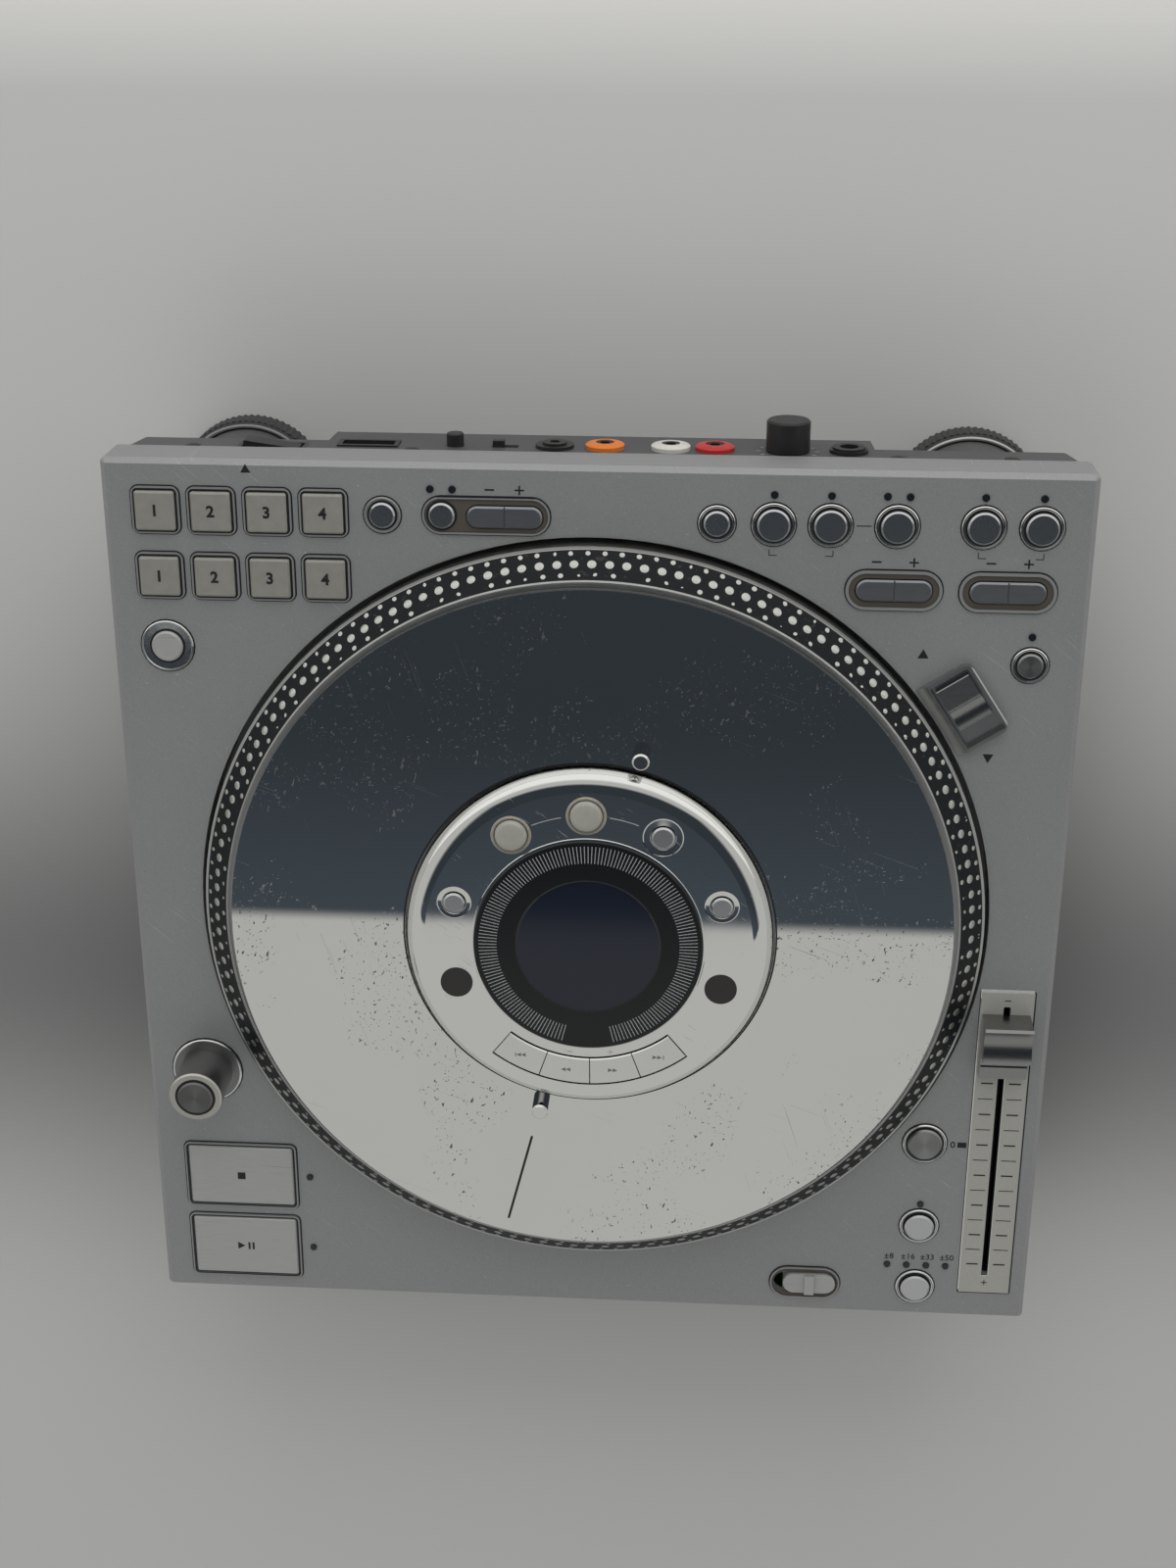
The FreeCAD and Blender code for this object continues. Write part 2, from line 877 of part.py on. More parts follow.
def make_frame(label, place_xy, outer, holes, lip=None):
    """A flat frame round one or more openings, dished inside a lip if one is given."""
    body = new_body(label)
    centre = (as_size(0), as_size(0))
    length, width, radius = outer
    outline = new_sketch(body, label + "_outline")
    centred(outline, centre, length, width, radius)
    for hole_place, hole_length, hole_width, hole_radius in holes:
        if hole_length is None:
            circle(outline, *hole_place, hole_radius)
        else:
            centred(outline, hole_place, hole_length, hole_width, hole_radius)
    pad(body, outline, dim.ring_height)
    if lip is not None:
        step = new_sketch(body, label + "_step", offset=dim.ring_height)
        centred(step, centre, length - 2 * lip, width - 2 * lip, radius - lip)
        pocket(body, step, dim.ring_dish)
    place(body, *place_xy)
    return body


def make_direction_housing():
    """A low frame beside the well: a ramp on the platter's side and a deep window for the switch."""
    body = new_body("direction_housing")
    half = dim.direction_width / 2
    side = new_sketch(body, "housing_side", "XZ_Plane", offset=-dim.direction_length / 2)
    polygon(side, [
        (-half, 0),
        (half, 0),
        (half, dim.direction_rise - dim.direction_edge),
        (half - dim.direction_edge, dim.direction_rise),
        (dim.direction_ramp - half, dim.direction_rise),
        (-half, 0.5),
    ])
    block = pad(body, side, dim.direction_length)

    def far_corner(edge):
        box = edge.BoundBox
        upright = box.ZMax - box.ZMin > 1 and box.YMax - box.YMin < 1e-4
        return upright and box.XMin > half.value - 1e-4

    dress(body, block, "Fillet", "Radius", dim.direction_corner, far_corner)
    hollow = new_sketch(body, "housing_recess", offset=dim.direction_rise)
    inset = dim.recess_inset
    across = dim.direction_length / 2 - inset
    rectangle(hollow, dim.direction_ramp - half + 0.3, half - inset, -across, across)
    pocket(body, hollow, dim.direction_recess)
    body.Placement = FreeCAD.Placement(
        FreeCAD.Vector(), FreeCAD.Rotation(Z_AXIS, dim.direction_angle.value)
    )
    bind(body, "Placement.Rotation.Angle", dim.direction_angle)
    place(body, *direction_place)
    return body


def make_trims():
    """The rings, frames and plates that stand on the deck round the controls."""
    gap = dim.button_gap
    centre = (as_size(0), as_size(0))
    members = []
    for label, (name, side, end, kind) in round_controls.items():
        if label == "edit_button":
            continue
        members.append(make_button_ring(name + "_ring", round_places[label],
                                        cap_radii[kind] + gap, ring_radii[kind]))
    pad_hole = dim.pad_side + 2 * gap
    pad_outer = pad_hole + 2 * dim.pad_frame
    for label, place_xy in pad_places.items():
        members.append(make_frame(
            label + "_frame", place_xy, (pad_outer, pad_outer, dim.pad_frame_corner),
            [(centre, pad_hole, pad_hole, dim.pad_corner + gap)],
        ))
    rocker_hole = (dim.rocker_length + 2 * gap, dim.rocker_width + 2 * gap,
                   dim.rocker_corner + gap)
    surround = (dim.surround_length, dim.surround_width, dim.surround_corner)
    for label in ("bank_rocker", "type_rocker"):
        members.append(make_frame(label + "_surround", rocker_places[label], surround,
                                  [(centre, *rocker_hole)], dim.surround_lip))
    edit = round_places["edit_button"]
    recess_place = (rocker_places["trim_rocker"][0] - dim.recess_offset, edit[1])
    edit_hole = ((edit[0] - recess_place[0], as_size(0)), None, None,
                 cap_radii["small"] + gap)
    trim_hole = ((dim.recess_offset, rocker_places["trim_rocker"][1] - edit[1]), *rocker_hole)
    members.append(make_frame("edit_surround", recess_place,
                              (dim.recess_length, dim.recess_width, dim.recess_corner),
                              [edit_hole, trim_hole], dim.recess_lip))
    slider_run = dim.slider_length + dim.slider_travel
    members.append(make_frame(
        "mode_surround", mode_place,
        (slider_run + 3.4, dim.surround_width, dim.surround_corner),
        [(centre, slider_run + 2 * gap, dim.slider_width + 2 * gap, dim.slider_corner + gap)],
        dim.recess_lip,
    ))
    key_hole = (dim.key_length + 2 * gap, dim.key_width + 2 * gap)
    for label, place_xy in key_places.items():
        members.append(make_frame(
            label + "_frame", place_xy,
            (key_hole[0] + 2 * dim.key_frame, key_hole[1] + 2 * dim.key_frame,
             dim.key_corner + gap + dim.key_frame),
            [(centre, *key_hole, dim.key_corner + gap)],
        ))

    plate = new_body("fader_plate")
    strip = new_sketch(plate, "fader_strip")
    centred(strip, fader_place, dim.fader_plate_width, dim.fader_plate_length)
    centred(strip, fader_place, dim.slot_width, dim.slot_length)
    pad(plate, strip, dim.fader_plate_height)
    place(plate)
    members.append(plate)

    post = new_body("free_wheel_post")
    profile = new_sketch(post, "post_profile", "XZ_Plane")
    bore = dim.post_cap_radius + gap
    polygon(profile, [
        (bore, 0),
        (dim.base_ring_radius, 0),
        (dim.base_ring_radius, dim.base_ring_height - dim.ring_chamfer),
        (dim.base_ring_radius - dim.ring_chamfer, dim.base_ring_height),
        (dim.post_outer, dim.base_ring_height),
        (dim.post_outer, dim.post_height - dim.cap_bevel),
        (dim.post_outer - dim.cap_bevel, dim.post_height),
        (bore, dim.post_height),
    ])
    revolve(post, profile)
    place(post, *post_place)
    members.append(post)

    members.append(make_direction_housing())
    return group("deck_trims", members)


# Push buttons, keys and sliders on the deck

def make_round_button(label, place_xy, radius, rise, under, height=0):
    """A turned cap with a bevel and a flange that keeps it under the plate."""
    body = new_body(label)
    profile = new_sketch(body, label + "_profile", "XZ_Plane")
    flange = radius + dim.flange_reach
    polygon(profile, [
        (0, rise),
        (radius - dim.cap_bevel, rise),
        (radius, rise - dim.cap_bevel),
        (radius, under),
        (flange, under),
        (flange, under - dim.flange_thickness),
        (0, under - dim.flange_thickness),
    ])
    revolve(body, profile)
    place(body, *place_xy, height)
    return keep(body, label)


def make_square_cap(label, place_xy, length, width, radius, rise):
    """A rectangular cap with rounded corners, a bevelled top and a retaining flange."""
    body = new_body(label)
    centre = (as_size(0), as_size(0))
    outline = new_sketch(body, label + "_outline", offset=cap_under)
    centred(outline, centre, length, width, radius)
    cap = pad(body, outline, rise - cap_under)
    dress(body, cap, "Chamfer", "Size", dim.cap_bevel, flat_at(rise))
    flange = new_sketch(body, label + "_flange", offset=cap_under)
    reach = 2 * dim.flange_reach
    centred(flange, centre, length + reach, width + reach)
    pad(body, flange, dim.flange_thickness, down=True)
    place(body, *place_xy)
    return keep(body, label)


def make_rocker(label, place_xy):
    """A two-way key with a notch across its middle."""
    body = new_body(label)
    centre = (as_size(0), as_size(0))
    outline = new_sketch(body, label + "_outline", offset=-dim.rocker_depth)
    centred(outline, centre, dim.rocker_length, dim.rocker_width, dim.rocker_corner)
    cap = pad(body, outline, dim.rocker_rise + dim.rocker_depth)
    dress(body, cap, "Chamfer", "Size", dim.cap_bevel, flat_at(dim.rocker_rise))
    notch = new_sketch(body, label + "_notch", offset=dim.rocker_rise)
    centred(notch, centre, dim.notch_width, dim.rocker_width + 2)
    pocket(body, notch, dim.notch_depth)
    place(body, *place_xy)
    return keep(body, label)


def make_slider():
    body = new_body("mode_slider")
    across, along = mode_place
    outline = new_sketch(body, "slider_outline", offset=cap_under)
    centre = (as_size(0), as_size(0))
    centred(outline, centre, dim.slider_length, dim.slider_width, dim.slider_corner)
    pad(body, outline, dim.slider_rise - cap_under)
    ridge = new_sketch(body, "slider_ridge_outline", offset=dim.slider_rise)
    centred(ridge, centre, dim.slider_ridge, dim.slider_width)
    pad(body, ridge, dim.ridge_rise)
    flange = new_sketch(body, "slider_flange", offset=cap_under)
    centred(flange, centre, dim.slider_length, dim.slider_width + 2 * dim.flange_reach)
    pad(body, flange, dim.flange_thickness, down=True)
    place(body, across + dim.slider_travel / 2, along)
    return keep(body, "mode_slider")


def make_fader():
    """The fader knob: a low step with an index line, a high block with a thumb saddle, a lever."""
    body = new_body("pitch_fader")
    half = dim.fader_length / 2
    side = new_sketch(body, "fader_side", "YZ_Plane", offset=-dim.fader_width / 2)
    polygon(side, [
        (-half, dim.fader_lift),
        (half, dim.fader_lift),
        (half, dim.fader_top - 1),
        (half - 1, dim.fader_top),
        (dim.fader_step - half + 1, dim.fader_top),
        (dim.fader_step - half, dim.fader_low),
        (-half, dim.fader_low - 2),
    ])
    pad(body, side, dim.fader_width)
    saddle = new_sketch(body, "fader_saddle", "YZ_Plane", offset=-dim.fader_width)
    middle = dim.fader_step / 2
    circle(saddle, middle, dim.fader_top + dim.saddle_radius - dim.saddle_depth,
           dim.saddle_radius)
    pocket(body, saddle, 2 * dim.fader_width, up=True)
    lever = new_sketch(body, "fader_lever", offset=dim.fader_lift + 1)
    shift = -dim.lever_shift
    rectangle(lever, -dim.lever_width / 2, dim.lever_width / 2,
              shift - dim.lever_length / 2, shift + dim.lever_length / 2)
    pad(body, lever, dim.lever_depth, down=True)
    across, along = fader_place
    place(body, across, along + dim.fader_offset)
    return keep(body, "pitch_fader")


def make_direction_lever():
    """The switch: a square block for the thumb with a hollow saddle in front of it."""
    body = new_body("direction_switch")
    floor = dim.direction_rise - dim.direction_recess
    total = dim.thumb_length + dim.thumb_tail
    middle = (dim.direction_ramp + 0.3 - dim.recess_inset) / 2
    side = new_sketch(body, "thumb_side", "YZ_Plane", offset=middle - dim.thumb_width / 2)
    rear = total / 2
    step = rear - dim.thumb_length
    bevel = dim.cap_bevel / 2
    polygon(side, [
        (-rear, floor),
        (rear, floor),
        (rear, dim.thumb_rise - bevel),
        (rear - bevel, dim.thumb_rise),
        (step, dim.thumb_rise),
        (-rear, dim.thumb_rise - 0.8),
    ])
    pad(body, side, dim.thumb_width)
    saddle = new_sketch(body, "thumb_saddle", "YZ_Plane", offset=middle - dim.thumb_width)
    centre = (step - rear) / 2
    circle(saddle, centre, floor + dim.thumb_floor + dim.thumb_hollow - dim.direction_edge,
           dim.thumb_hollow)
    pocket(body, saddle, 2 * dim.thumb_width, up=True)
    body.Placement = FreeCAD.Placement(
        FreeCAD.Vector(), FreeCAD.Rotation(Z_AXIS, dim.direction_angle.value)
    )
    bind(body, "Placement.Rotation.Angle", dim.direction_angle)
    reach = dim.direction_length / 2 - dim.recess_inset - dim.thumb_end_gap - total / 2
    across, along = direction_place
    place(
        body,
        across - reach * sine(dim.direction_angle),
        along + reach * cosine(dim.direction_angle),
    )
    return keep(body, "direction_switch")


def make_free_wheel_button():
    body = new_body("free_wheel_button")
    profile = new_sketch(body, "free_wheel_profile", "XZ_Plane")
    radius = dim.post_cap_radius
    low = dim.post_height - dim.post_cap_depth
    top = dim.post_height + dim.post_cap_rise
    polygon(profile, [
        (0, top),
        (radius - dim.cap_bevel, top),
        (radius, top - dim.cap_bevel),
        (radius, low),
        (0, low),
    ])
    revolve(body, profile)
    place(body, *post_place)
    return keep(body, "free_wheel_button")


# Platter, slip mat and control disc

def make_platter():
    body = new_body("platter")
    profile = new_sketch(body, "platter_profile", "XZ_Plane")
    bore = dim.post_radius + dim.bearing_gap
    web_low = dim.web_height - dim.web_thickness
    magnet_in = dim.stator_radius + dim.magnet_gap
    magnet_out = magnet_in + dim.magnet_width
    skirt_in = platter_radius - dim.platter_wall
    bearing_top = floor_top + dim.bearing_height
    polygon(profile, [
        (bore, dim.web_height),
        (recess_radius, dim.web_height),
        (recess_radius, rim_top),
        (rim_radius, rim_top),
        (strobe_radius, lip_top),
        (platter_radius, lip_top - 0.4),
        (platter_radius, lip_top - dim.lip_height),
        (platter_radius - 0.8, lip_top - dim.lip_height - 0.8),
        (platter_radius - 0.8, -dim.skirt_drop),
        (skirt_in, -dim.skirt_drop),
        (skirt_in, web_low - 3),
        (skirt_in - 4, web_low),
        (magnet_out, web_low),
        (magnet_out, web_low - dim.magnet_drop),
        (magnet_in, web_low - dim.magnet_drop),
        (magnet_in, web_low),
        (bore + dim.bearing_land, web_low),
        (bore + dim.bearing_land, bearing_top),
        (bore, bearing_top),
    ])
    revolve(body, profile)
    place(body)
    return keep(body, "platter")


def make_ring(label, inner, outer, low, thickness):
    body = new_body(label)
    outline = new_sketch(body, label + "_outline", offset=low)
    circle(outline, 0, 0, outer)
    circle(outline, 0, 0, inner)
    pad(body, outline, thickness)
    place(body)
    return body


def make_disc():
    low = dim.web_height + dim.slipmat_thickness
    body = make_ring("disc", dim.disc_bore, dim.disc_radius, low, dim.disc_thickness)
    top = low + dim.disc_thickness
    pegs = new_sketch(body, "disc_pegs", offset=top)
    for opposite in (1, -1):
        circle(
            pegs,
            opposite * dim.peg_circle * cosine(dim.peg_angle),
            opposite * dim.peg_circle * sine(dim.peg_angle),
            dim.peg_radius,
        )
    raised = pad(body, pegs, dim.peg_height)
    dress(body, raised, "Chamfer", "Size", dim.cap_bevel, flat_at(top + dim.peg_height))
    return keep(body, "disc")


# Motor, post and fixed hub

def make_stator():
    body = new_body("motor_stator")
    profile = new_sketch(body, "stator_profile", "XZ_Plane")
    stator_top = floor_top + dim.stator_height
    stator_in = dim.stator_radius - dim.stator_width
    bearing_top = floor_top + dim.bearing_height
    carrier_radius = dim.disc_bore - dim.hub_edge_gap - dim.hub_wall + 1.5
    polygon(profile, [
        (dim.cable_bore, floor_top),
        (dim.stator_radius, floor_top),
        (dim.stator_radius, stator_top),
        (stator_in, stator_top),
        (stator_in, bearing_top),
        (dim.post_radius, bearing_top),
        (dim.post_radius, carrier_low),
        (carrier_radius, carrier_low),
        (carrier_radius, carrier_top),
        (dim.cable_bore, carrier_top),
    ])
    revolve(body, profile)
    place(body)
    return keep(body, "motor_stator")


def make_hub():
    body = new_body("hub_housing")
    outer = dim.disc_bore - dim.hub_edge_gap
    seat = outer - dim.hub_wall
    low = carrier_low + 0.3
    profile = new_sketch(body, "hub_profile", "XZ_Plane")
    polygon(profile, [
        (outer, low),
        (outer, dim.hub_face_height),
        (dim.bezel_radius - dim.bezel_collar, dim.hub_face_height),
        (dim.bezel_radius - dim.bezel_collar, hub_under),
        (seat - 1.5, hub_under),
        (seat, hub_under - 2.5),
        (seat, carrier_top),
        (seat + 1.7, carrier_top),
        (seat + 1.7, low),
    ])
    turned = revolve(body, profile)

    def outer_rim(edge):
        box = edge.BoundBox
        level = abs(box.ZMin - dim.hub_face_height.value) < 1e-4
        return level and box.XMax > outer.value - 1e-3 and box.ZMax - box.ZMin < 1e-4

    dress(body, turned, "Fillet", "Radius", dim.hub_face_height - dim.hub_edge_height, outer_rim)
    holes = new_sketch(body, "hub_openings", offset=dim.hub_face_height + 1)
    for place_xy, radius in hub_places.values():
        circle(holes, *place_xy, radius + dim.button_gap)
    pocket(body, holes, dim.hub_plate + 2)
    arc = new_sketch(body, "arc_opening", "XZ_Plane", angle=dim.arc_start)
    polygon(arc, [
        (dim.arc_inner - dim.arc_gap, dim.hub_face_height + 1),
        (dim.arc_outer + dim.arc_gap, dim.hub_face_height + 1),
        (dim.arc_outer + dim.arc_gap, hub_under - 1),
        (dim.arc_inner - dim.arc_gap, hub_under - 1),
    ])
    revolve(body, arc, "Groove", 4 * dim.arc_span)
    place(body)
    return keep(body, "hub_housing")


def make_arc_key(label, index):
    """One of four keys side by side on an arc."""
    body = new_body(label)
    start = dim.arc_start + index * dim.arc_span + dim.arc_gap_angle / 2
    under = hub_under - dim.stop_gap
    profile = new_sketch(body, label + "_profile", "XZ_Plane", angle=start)
    polygon(profile, [
        (dim.arc_inner, under - dim.flange_thickness),
        (dim.arc_outer, under - dim.flange_thickness),
        (dim.arc_outer, dim.hub_face_height + 0.2),
        (dim.arc_outer - 0.4, dim.hub_face_height + 0.6),
        (dim.arc_inner + 0.4, dim.hub_face_height + 0.6),
        (dim.arc_inner, dim.hub_face_height + 0.2),
    ])
    revolve(body, profile, angle=dim.arc_span - dim.arc_gap_angle)
    place(body)
    return keep(body, label)


def make_bezel():
    body = new_body("display_ring")
    top = dim.hub_face_height + dim.bezel_height
    plug = dim.bezel_radius - dim.bezel_collar - 0.1
    profile = new_sketch(body, "bezel_profile", "XZ_Plane")
    polygon(profile, [
        (0, top - dim.window_step),
        (dim.window_radius, top - dim.window_step),
        (dim.window_radius + 0.8, top),
        (dim.bezel_radius - 0.5, top),
        (dim.bezel_radius, top - 0.5),
        (dim.bezel_radius, dim.hub_face_height),
        (plug, dim.hub_face_height),
        (plug, hub_under - 1),
        (0, hub_under - 1),
    ])
    revolve(body, profile)
    place(body)
    plugs = new_body("hub_plugs")
    discs = new_sketch(plugs, "plug_outlines", offset=dim.hub_face_height)
    circle(discs, *round_hub_place(dim.left_plug_angle), dim.plug_radius)
    circle(discs, *round_hub_place(dim.right_plug_angle), dim.plug_radius)
    pad(plugs, discs, dim.plug_height)
    place(plugs)
    return group("display_bezel", [body, plugs])


# Boards with their switches, lamps and the fader's track

def add_switches(body, name, places, low, height, side):
    sketch = new_sketch(body, name, offset=low)
    for place_xy in places:
        centred(sketch, place_xy, side, side)
    pad(body, sketch, height)


def make_boards():
    clear = well_radius + dim.cover_wall + dim.board_margin
    inner_side = deck_side - dim.cover_wall - dim.board_margin
    inner_rear = deck_rear - dim.cover_wall - dim.board_margin
    inner_front = deck_front + dim.cover_wall + dim.board_margin
    low = board_top - dim.board_thickness
    lamp_height = dim.lamp_rise - board_top

    def board(name, left, right, front, rear, places, lamps, posts):
        body = new_body(name)
        outline = new_sketch(body, name + "_outline", offset=low)
        rectangle(outline, left, right, front, rear)
        pad(body, outline, dim.board_thickness)
        hollow = new_sketch(body, name + "_hollow", offset=board_top + 1)
        circle(hollow, 0, 0, clear)
        pocket(body, hollow, dim.board_thickness + 2)
        add_switches(body, name + "_switches", places, board_top, dim.switch_height,
                     dim.switch_side)
        stems = new_sketch(body, name + "_lamps", offset=board_top)
        for across, along in lamps:
            circle(stems, across, along, dim.lamp_radius)
        pad(body, stems, lamp_height)
        pillars = new_sketch(body, name + "_pillars", offset=board_top)
        for across, along in posts:
            circle(pillars, across, along, dim.board_post_radius)
        pad(body, pillars, -dim.cover_wall - board_top)
        place(body)
        return body

    rear_places = [
        round_places[label]
        for label, (name, side, end, kind) in round_controls.items()
        if end == REAR
    ]
    rear_places += list(pad_places.values())
    left_places = list(key_places.values())
    right_places = [
        round_places[label]
        for label, (name, side, end, kind) in round_controls.items()
        if end == FRONT
    ]
    near_side = inner_side - 4
    near_rear = inner_rear - 3.5
    near_front = inner_front + 3.5
    track_side = fader_place[0] - dim.track_width / 2 - 1
    rear_posts = [(-near_side, near_rear), (near_side, near_rear), (0, near_rear),
                  (-near_side, corner - 2), (near_side, corner - 20)]
    left_posts = [(-near_side, near_front), (3 - corner, near_front),
                  (-near_side, -(corner - 40))]
    right_posts = [(corner - 37, near_front), (track_side - 3.5, near_front),
                   (track_side - 3.5, -(corner - 20))]
    members = [
        board("rear_board", -inner_side, inner_side, corner - 24, inner_rear, rear_places,
              lamp_places[:9], rear_posts),
        board("left_board", -inner_side, 0 - corner, inner_front, -(corner - 45), left_places,
              lamp_places[9:11], left_posts),
        board("right_board", corner - 42, track_side, inner_front, -(corner - 15),
              right_places, lamp_places[11:], right_posts),
    ]

    track = new_body("fader_track")
    outline = new_sketch(track, "track_outline", offset=-dim.cover_wall)
    length = dim.slot_length + 2 * dim.track_margin
    centred(outline, fader_place, dim.track_width, length)
    pad(track, outline, dim.track_height, down=True)
    groove = new_sketch(track, "track_groove", offset=-dim.cover_wall + 1)
    centred(groove, fader_place, dim.slot_width, dim.slot_length)
    pocket(track, groove, dim.track_height)
    place(track)
    members.append(track)

    hub = new_body("hub_board")
    sketch = new_sketch(hub, "hub_board_outline", offset=carrier_top)
    circle(sketch, 0, 0, dim.disc_bore - dim.hub_edge_gap - dim.hub_wall - 1)
    circle(sketch, 0, 0, dim.cable_bore)
    pad(hub, sketch, dim.hub_board_thickness)
    add_switches(hub, "hub_switches", [item[0] for item in hub_places.values()],
                 carrier_top + dim.hub_board_thickness, dim.hub_switch_height, 4.0)
    place(hub)
    members.append(hub)

    main = new_body("main_board")
    floor = pan_low + dim.base_wall
    sketch = new_sketch(main, "main_board_outline", offset=floor + dim.standoff)
    rear = rear_inner - dim.inlet_depth - 4
    side = dim.main_board_length / 2
    rectangle(sketch, -side, side, rear - dim.main_board_width, rear)
    pad(main, sketch, dim.board_thickness)
    posts = new_sketch(main, "main_board_posts", offset=floor)
    for across in (-side + 6, side - 6):
        for along in (rear - dim.main_board_width + 6, rear - 6):
            circle(posts, across, along, dim.board_post_radius)
    pad(main, posts, dim.standoff)
    place(main)
    members.append(main)
    return group("circuit_boards", members)


# Lower cover, feet, drive and rear connectors

rear_inner = rear_face - dim.base_wall
pan_front = deck_front + dim.base_inset + dim.base_taper + dim.pan_setback
pan_inner_front = pan_front + dim.base_wall + dim.pan_taper
slot_height_middle = -dim.slot_level
boss_places = [
    (side * (deck_side - dim.boss_inset_x), end)
    for side in (LEFT, RIGHT)
    for end in (deck_front + dim.boss_inset_y, deck_rear - dim.boss_inset_y)
]


def level_rectangle(body, name, height, side, front, rear, radius=None):
    sketch = new_sketch(body, name, offset=height)
    rectangle(sketch, -side, side, front, rear, radius)
    return sketch


def make_bottom_cover():
    body = new_body("bottom_cover")
    inset = dim.base_inset
    taper = inset + dim.base_taper
    wall = dim.base_wall
    radius = dim.base_corner
    upper = level_rectangle(body, "tray_top", base_top, deck_side - inset,
                            deck_front + inset, rear_face, radius)
    lower = level_rectangle(body, "tray_low", base_low, deck_side - taper,
                            deck_front + taper, rear_face, radius)
    loft(body, lower, upper)
    pan_side = dim.pan_half_width
    pan_upper = level_rectangle(body, "pan_top", base_low, pan_side, pan_front, rear_face)
    pan_lower = level_rectangle(body, "pan_low", pan_low, pan_side - dim.pan_taper,
                                pan_front + dim.pan_taper, rear_face)
    loft(body, pan_lower, pan_upper)
    bosses = new_sketch(body, "foot_bosses", offset=base_low + wall / 2)
    for across, along in boss_places:
        circle(bosses, across, along, dim.boss_radius)
    pad(body, bosses, base_low + wall / 2 - boss_low, down=True)

    inner_upper = level_rectangle(body, "tray_inside_top", base_top, deck_side - inset - wall,
                                  deck_front + inset + wall, rear_inner, radius - 2)
    inner_lower = level_rectangle(body, "tray_inside_low", base_low + wall,
                                  deck_side - taper - wall + 0.6,
                                  deck_front + taper + wall - 0.6, rear_inner, radius - 2)
    loft(body, inner_lower, inner_upper, "SubtractiveLoft")
    pan_inside = level_rectangle(body, "pan_inside", base_low + wall + 1,
                                 pan_side - dim.pan_wall - dim.pan_taper, pan_inner_front,
                                 rear_inner)
    pocket(body, pan_inside, dim.pan_drop + 1)
    wells = new_sketch(body, "boss_insides", offset=base_low + wall + 1)
    for across, along in boss_places:
        circle(wells, across, along, dim.boss_radius - dim.boss_wall)
    pocket(body, wells, base_low + wall + 1 - boss_low - 2 * dim.boss_wall)
    studs = new_sketch(body, "stud_holes", offset=base_low)
    for across, along in boss_places:
        circle(studs, across, along, dim.stud_radius + dim.stud_gap)
    pocket(body, studs, base_low - boss_low + 1)

    vents = new_sketch(body, "vent_slots", offset=pan_low + wall + 1)
    for row in range(6):
        middle = row * dim.vent_pitch + 40
        rectangle(vents, -dim.vent_length / 2, dim.vent_length / 2,
                  middle - dim.vent_width / 2, middle + dim.vent_width / 2)
    pocket(body, vents, wall + 2)

    front = new_sketch(body, "front_openings", "XZ_Plane", offset=-deck_front)
    rectangle(front, -dim.slot_half_width, dim.slot_half_width,
              slot_height_middle - dim.slot_height / 2,
              slot_height_middle + dim.slot_height / 2)
    gap = dim.button_gap
    rectangle(front, dim.eject_across - dim.eject_length / 2 - gap,
              dim.eject_across + dim.eject_length / 2 + gap,
              slot_height_middle - dim.eject_height / 2 - gap,
              slot_height_middle + dim.eject_height / 2 + gap)
    pocket(body, front, inset + dim.base_taper + wall + 1)

    rear = new_sketch(body, "rear_openings", "XZ_Plane", offset=1 - rear_inner)
    for across, reach in rear_round_openings:
        circle(rear, across, jack_height, reach)
    for across, level, length, height in rear_square_openings:
        rectangle(rear, across - length / 2, across + length / 2,
                  level - height / 2, level + height / 2)
    pocket(body, rear, wall + 2)
    place(body)
    return keep(body, "bottom_cover")


rear_round_openings = [
    (dim.headphone_across, dim.headphone_radius + 0.1),
    (dim.red_across, dim.phono_radius + 0.1),
    (dim.white_across, dim.phono_radius + 0.1),
    (dim.orange_across, dim.phono_radius + 0.1),
    (dim.control_across, dim.phono_radius + 0.1),
    (dim.volume_across, dim.shaft_radius + dim.shaft_gap),
    (dim.brake_across, dim.brake_radius + dim.shaft_gap),
]
power_side = dim.power_length + 2 * dim.power_gap + 2 * dim.power_frame
power_tall = dim.power_height + 2 * dim.power_clear + 2 * dim.power_frame
rear_square_openings = [
    (dim.rear_switch_across, jack_height, dim.rear_switch_length, dim.rear_switch_height),
    (dim.inlet_across, jack_height, dim.inlet_width, dim.inlet_height),
    (dim.power_across, power_height, power_side, power_tall),
]


def make_foot(label, place_xy):
    """A round foot that screws on a stud and cups the end of its boss."""
    body = new_body(label)
    profile = new_sketch(body, label + "_profile", "XZ_Plane")
    inner = dim.boss_radius + dim.foot_gap
    outer = inner + dim.foot_wall
    polygon(profile, [
        (0, 0),
        (outer - dim.foot_bevel, 0),
        (outer, dim.foot_bevel),
        (outer, dim.foot_height - 0.5),
        (outer - 0.5, dim.foot_height),
        (inner, dim.foot_height),
        (inner, dim.foot_floor),
        (dim.stud_radius, dim.foot_floor),
        (dim.stud_radius, dim.foot_floor + dim.stud_length),
        (0, dim.foot_floor + dim.stud_length),
    ])
    revolve(body, profile)
    place(body, *place_xy, 0, deck=False)
    return keep(body, label)


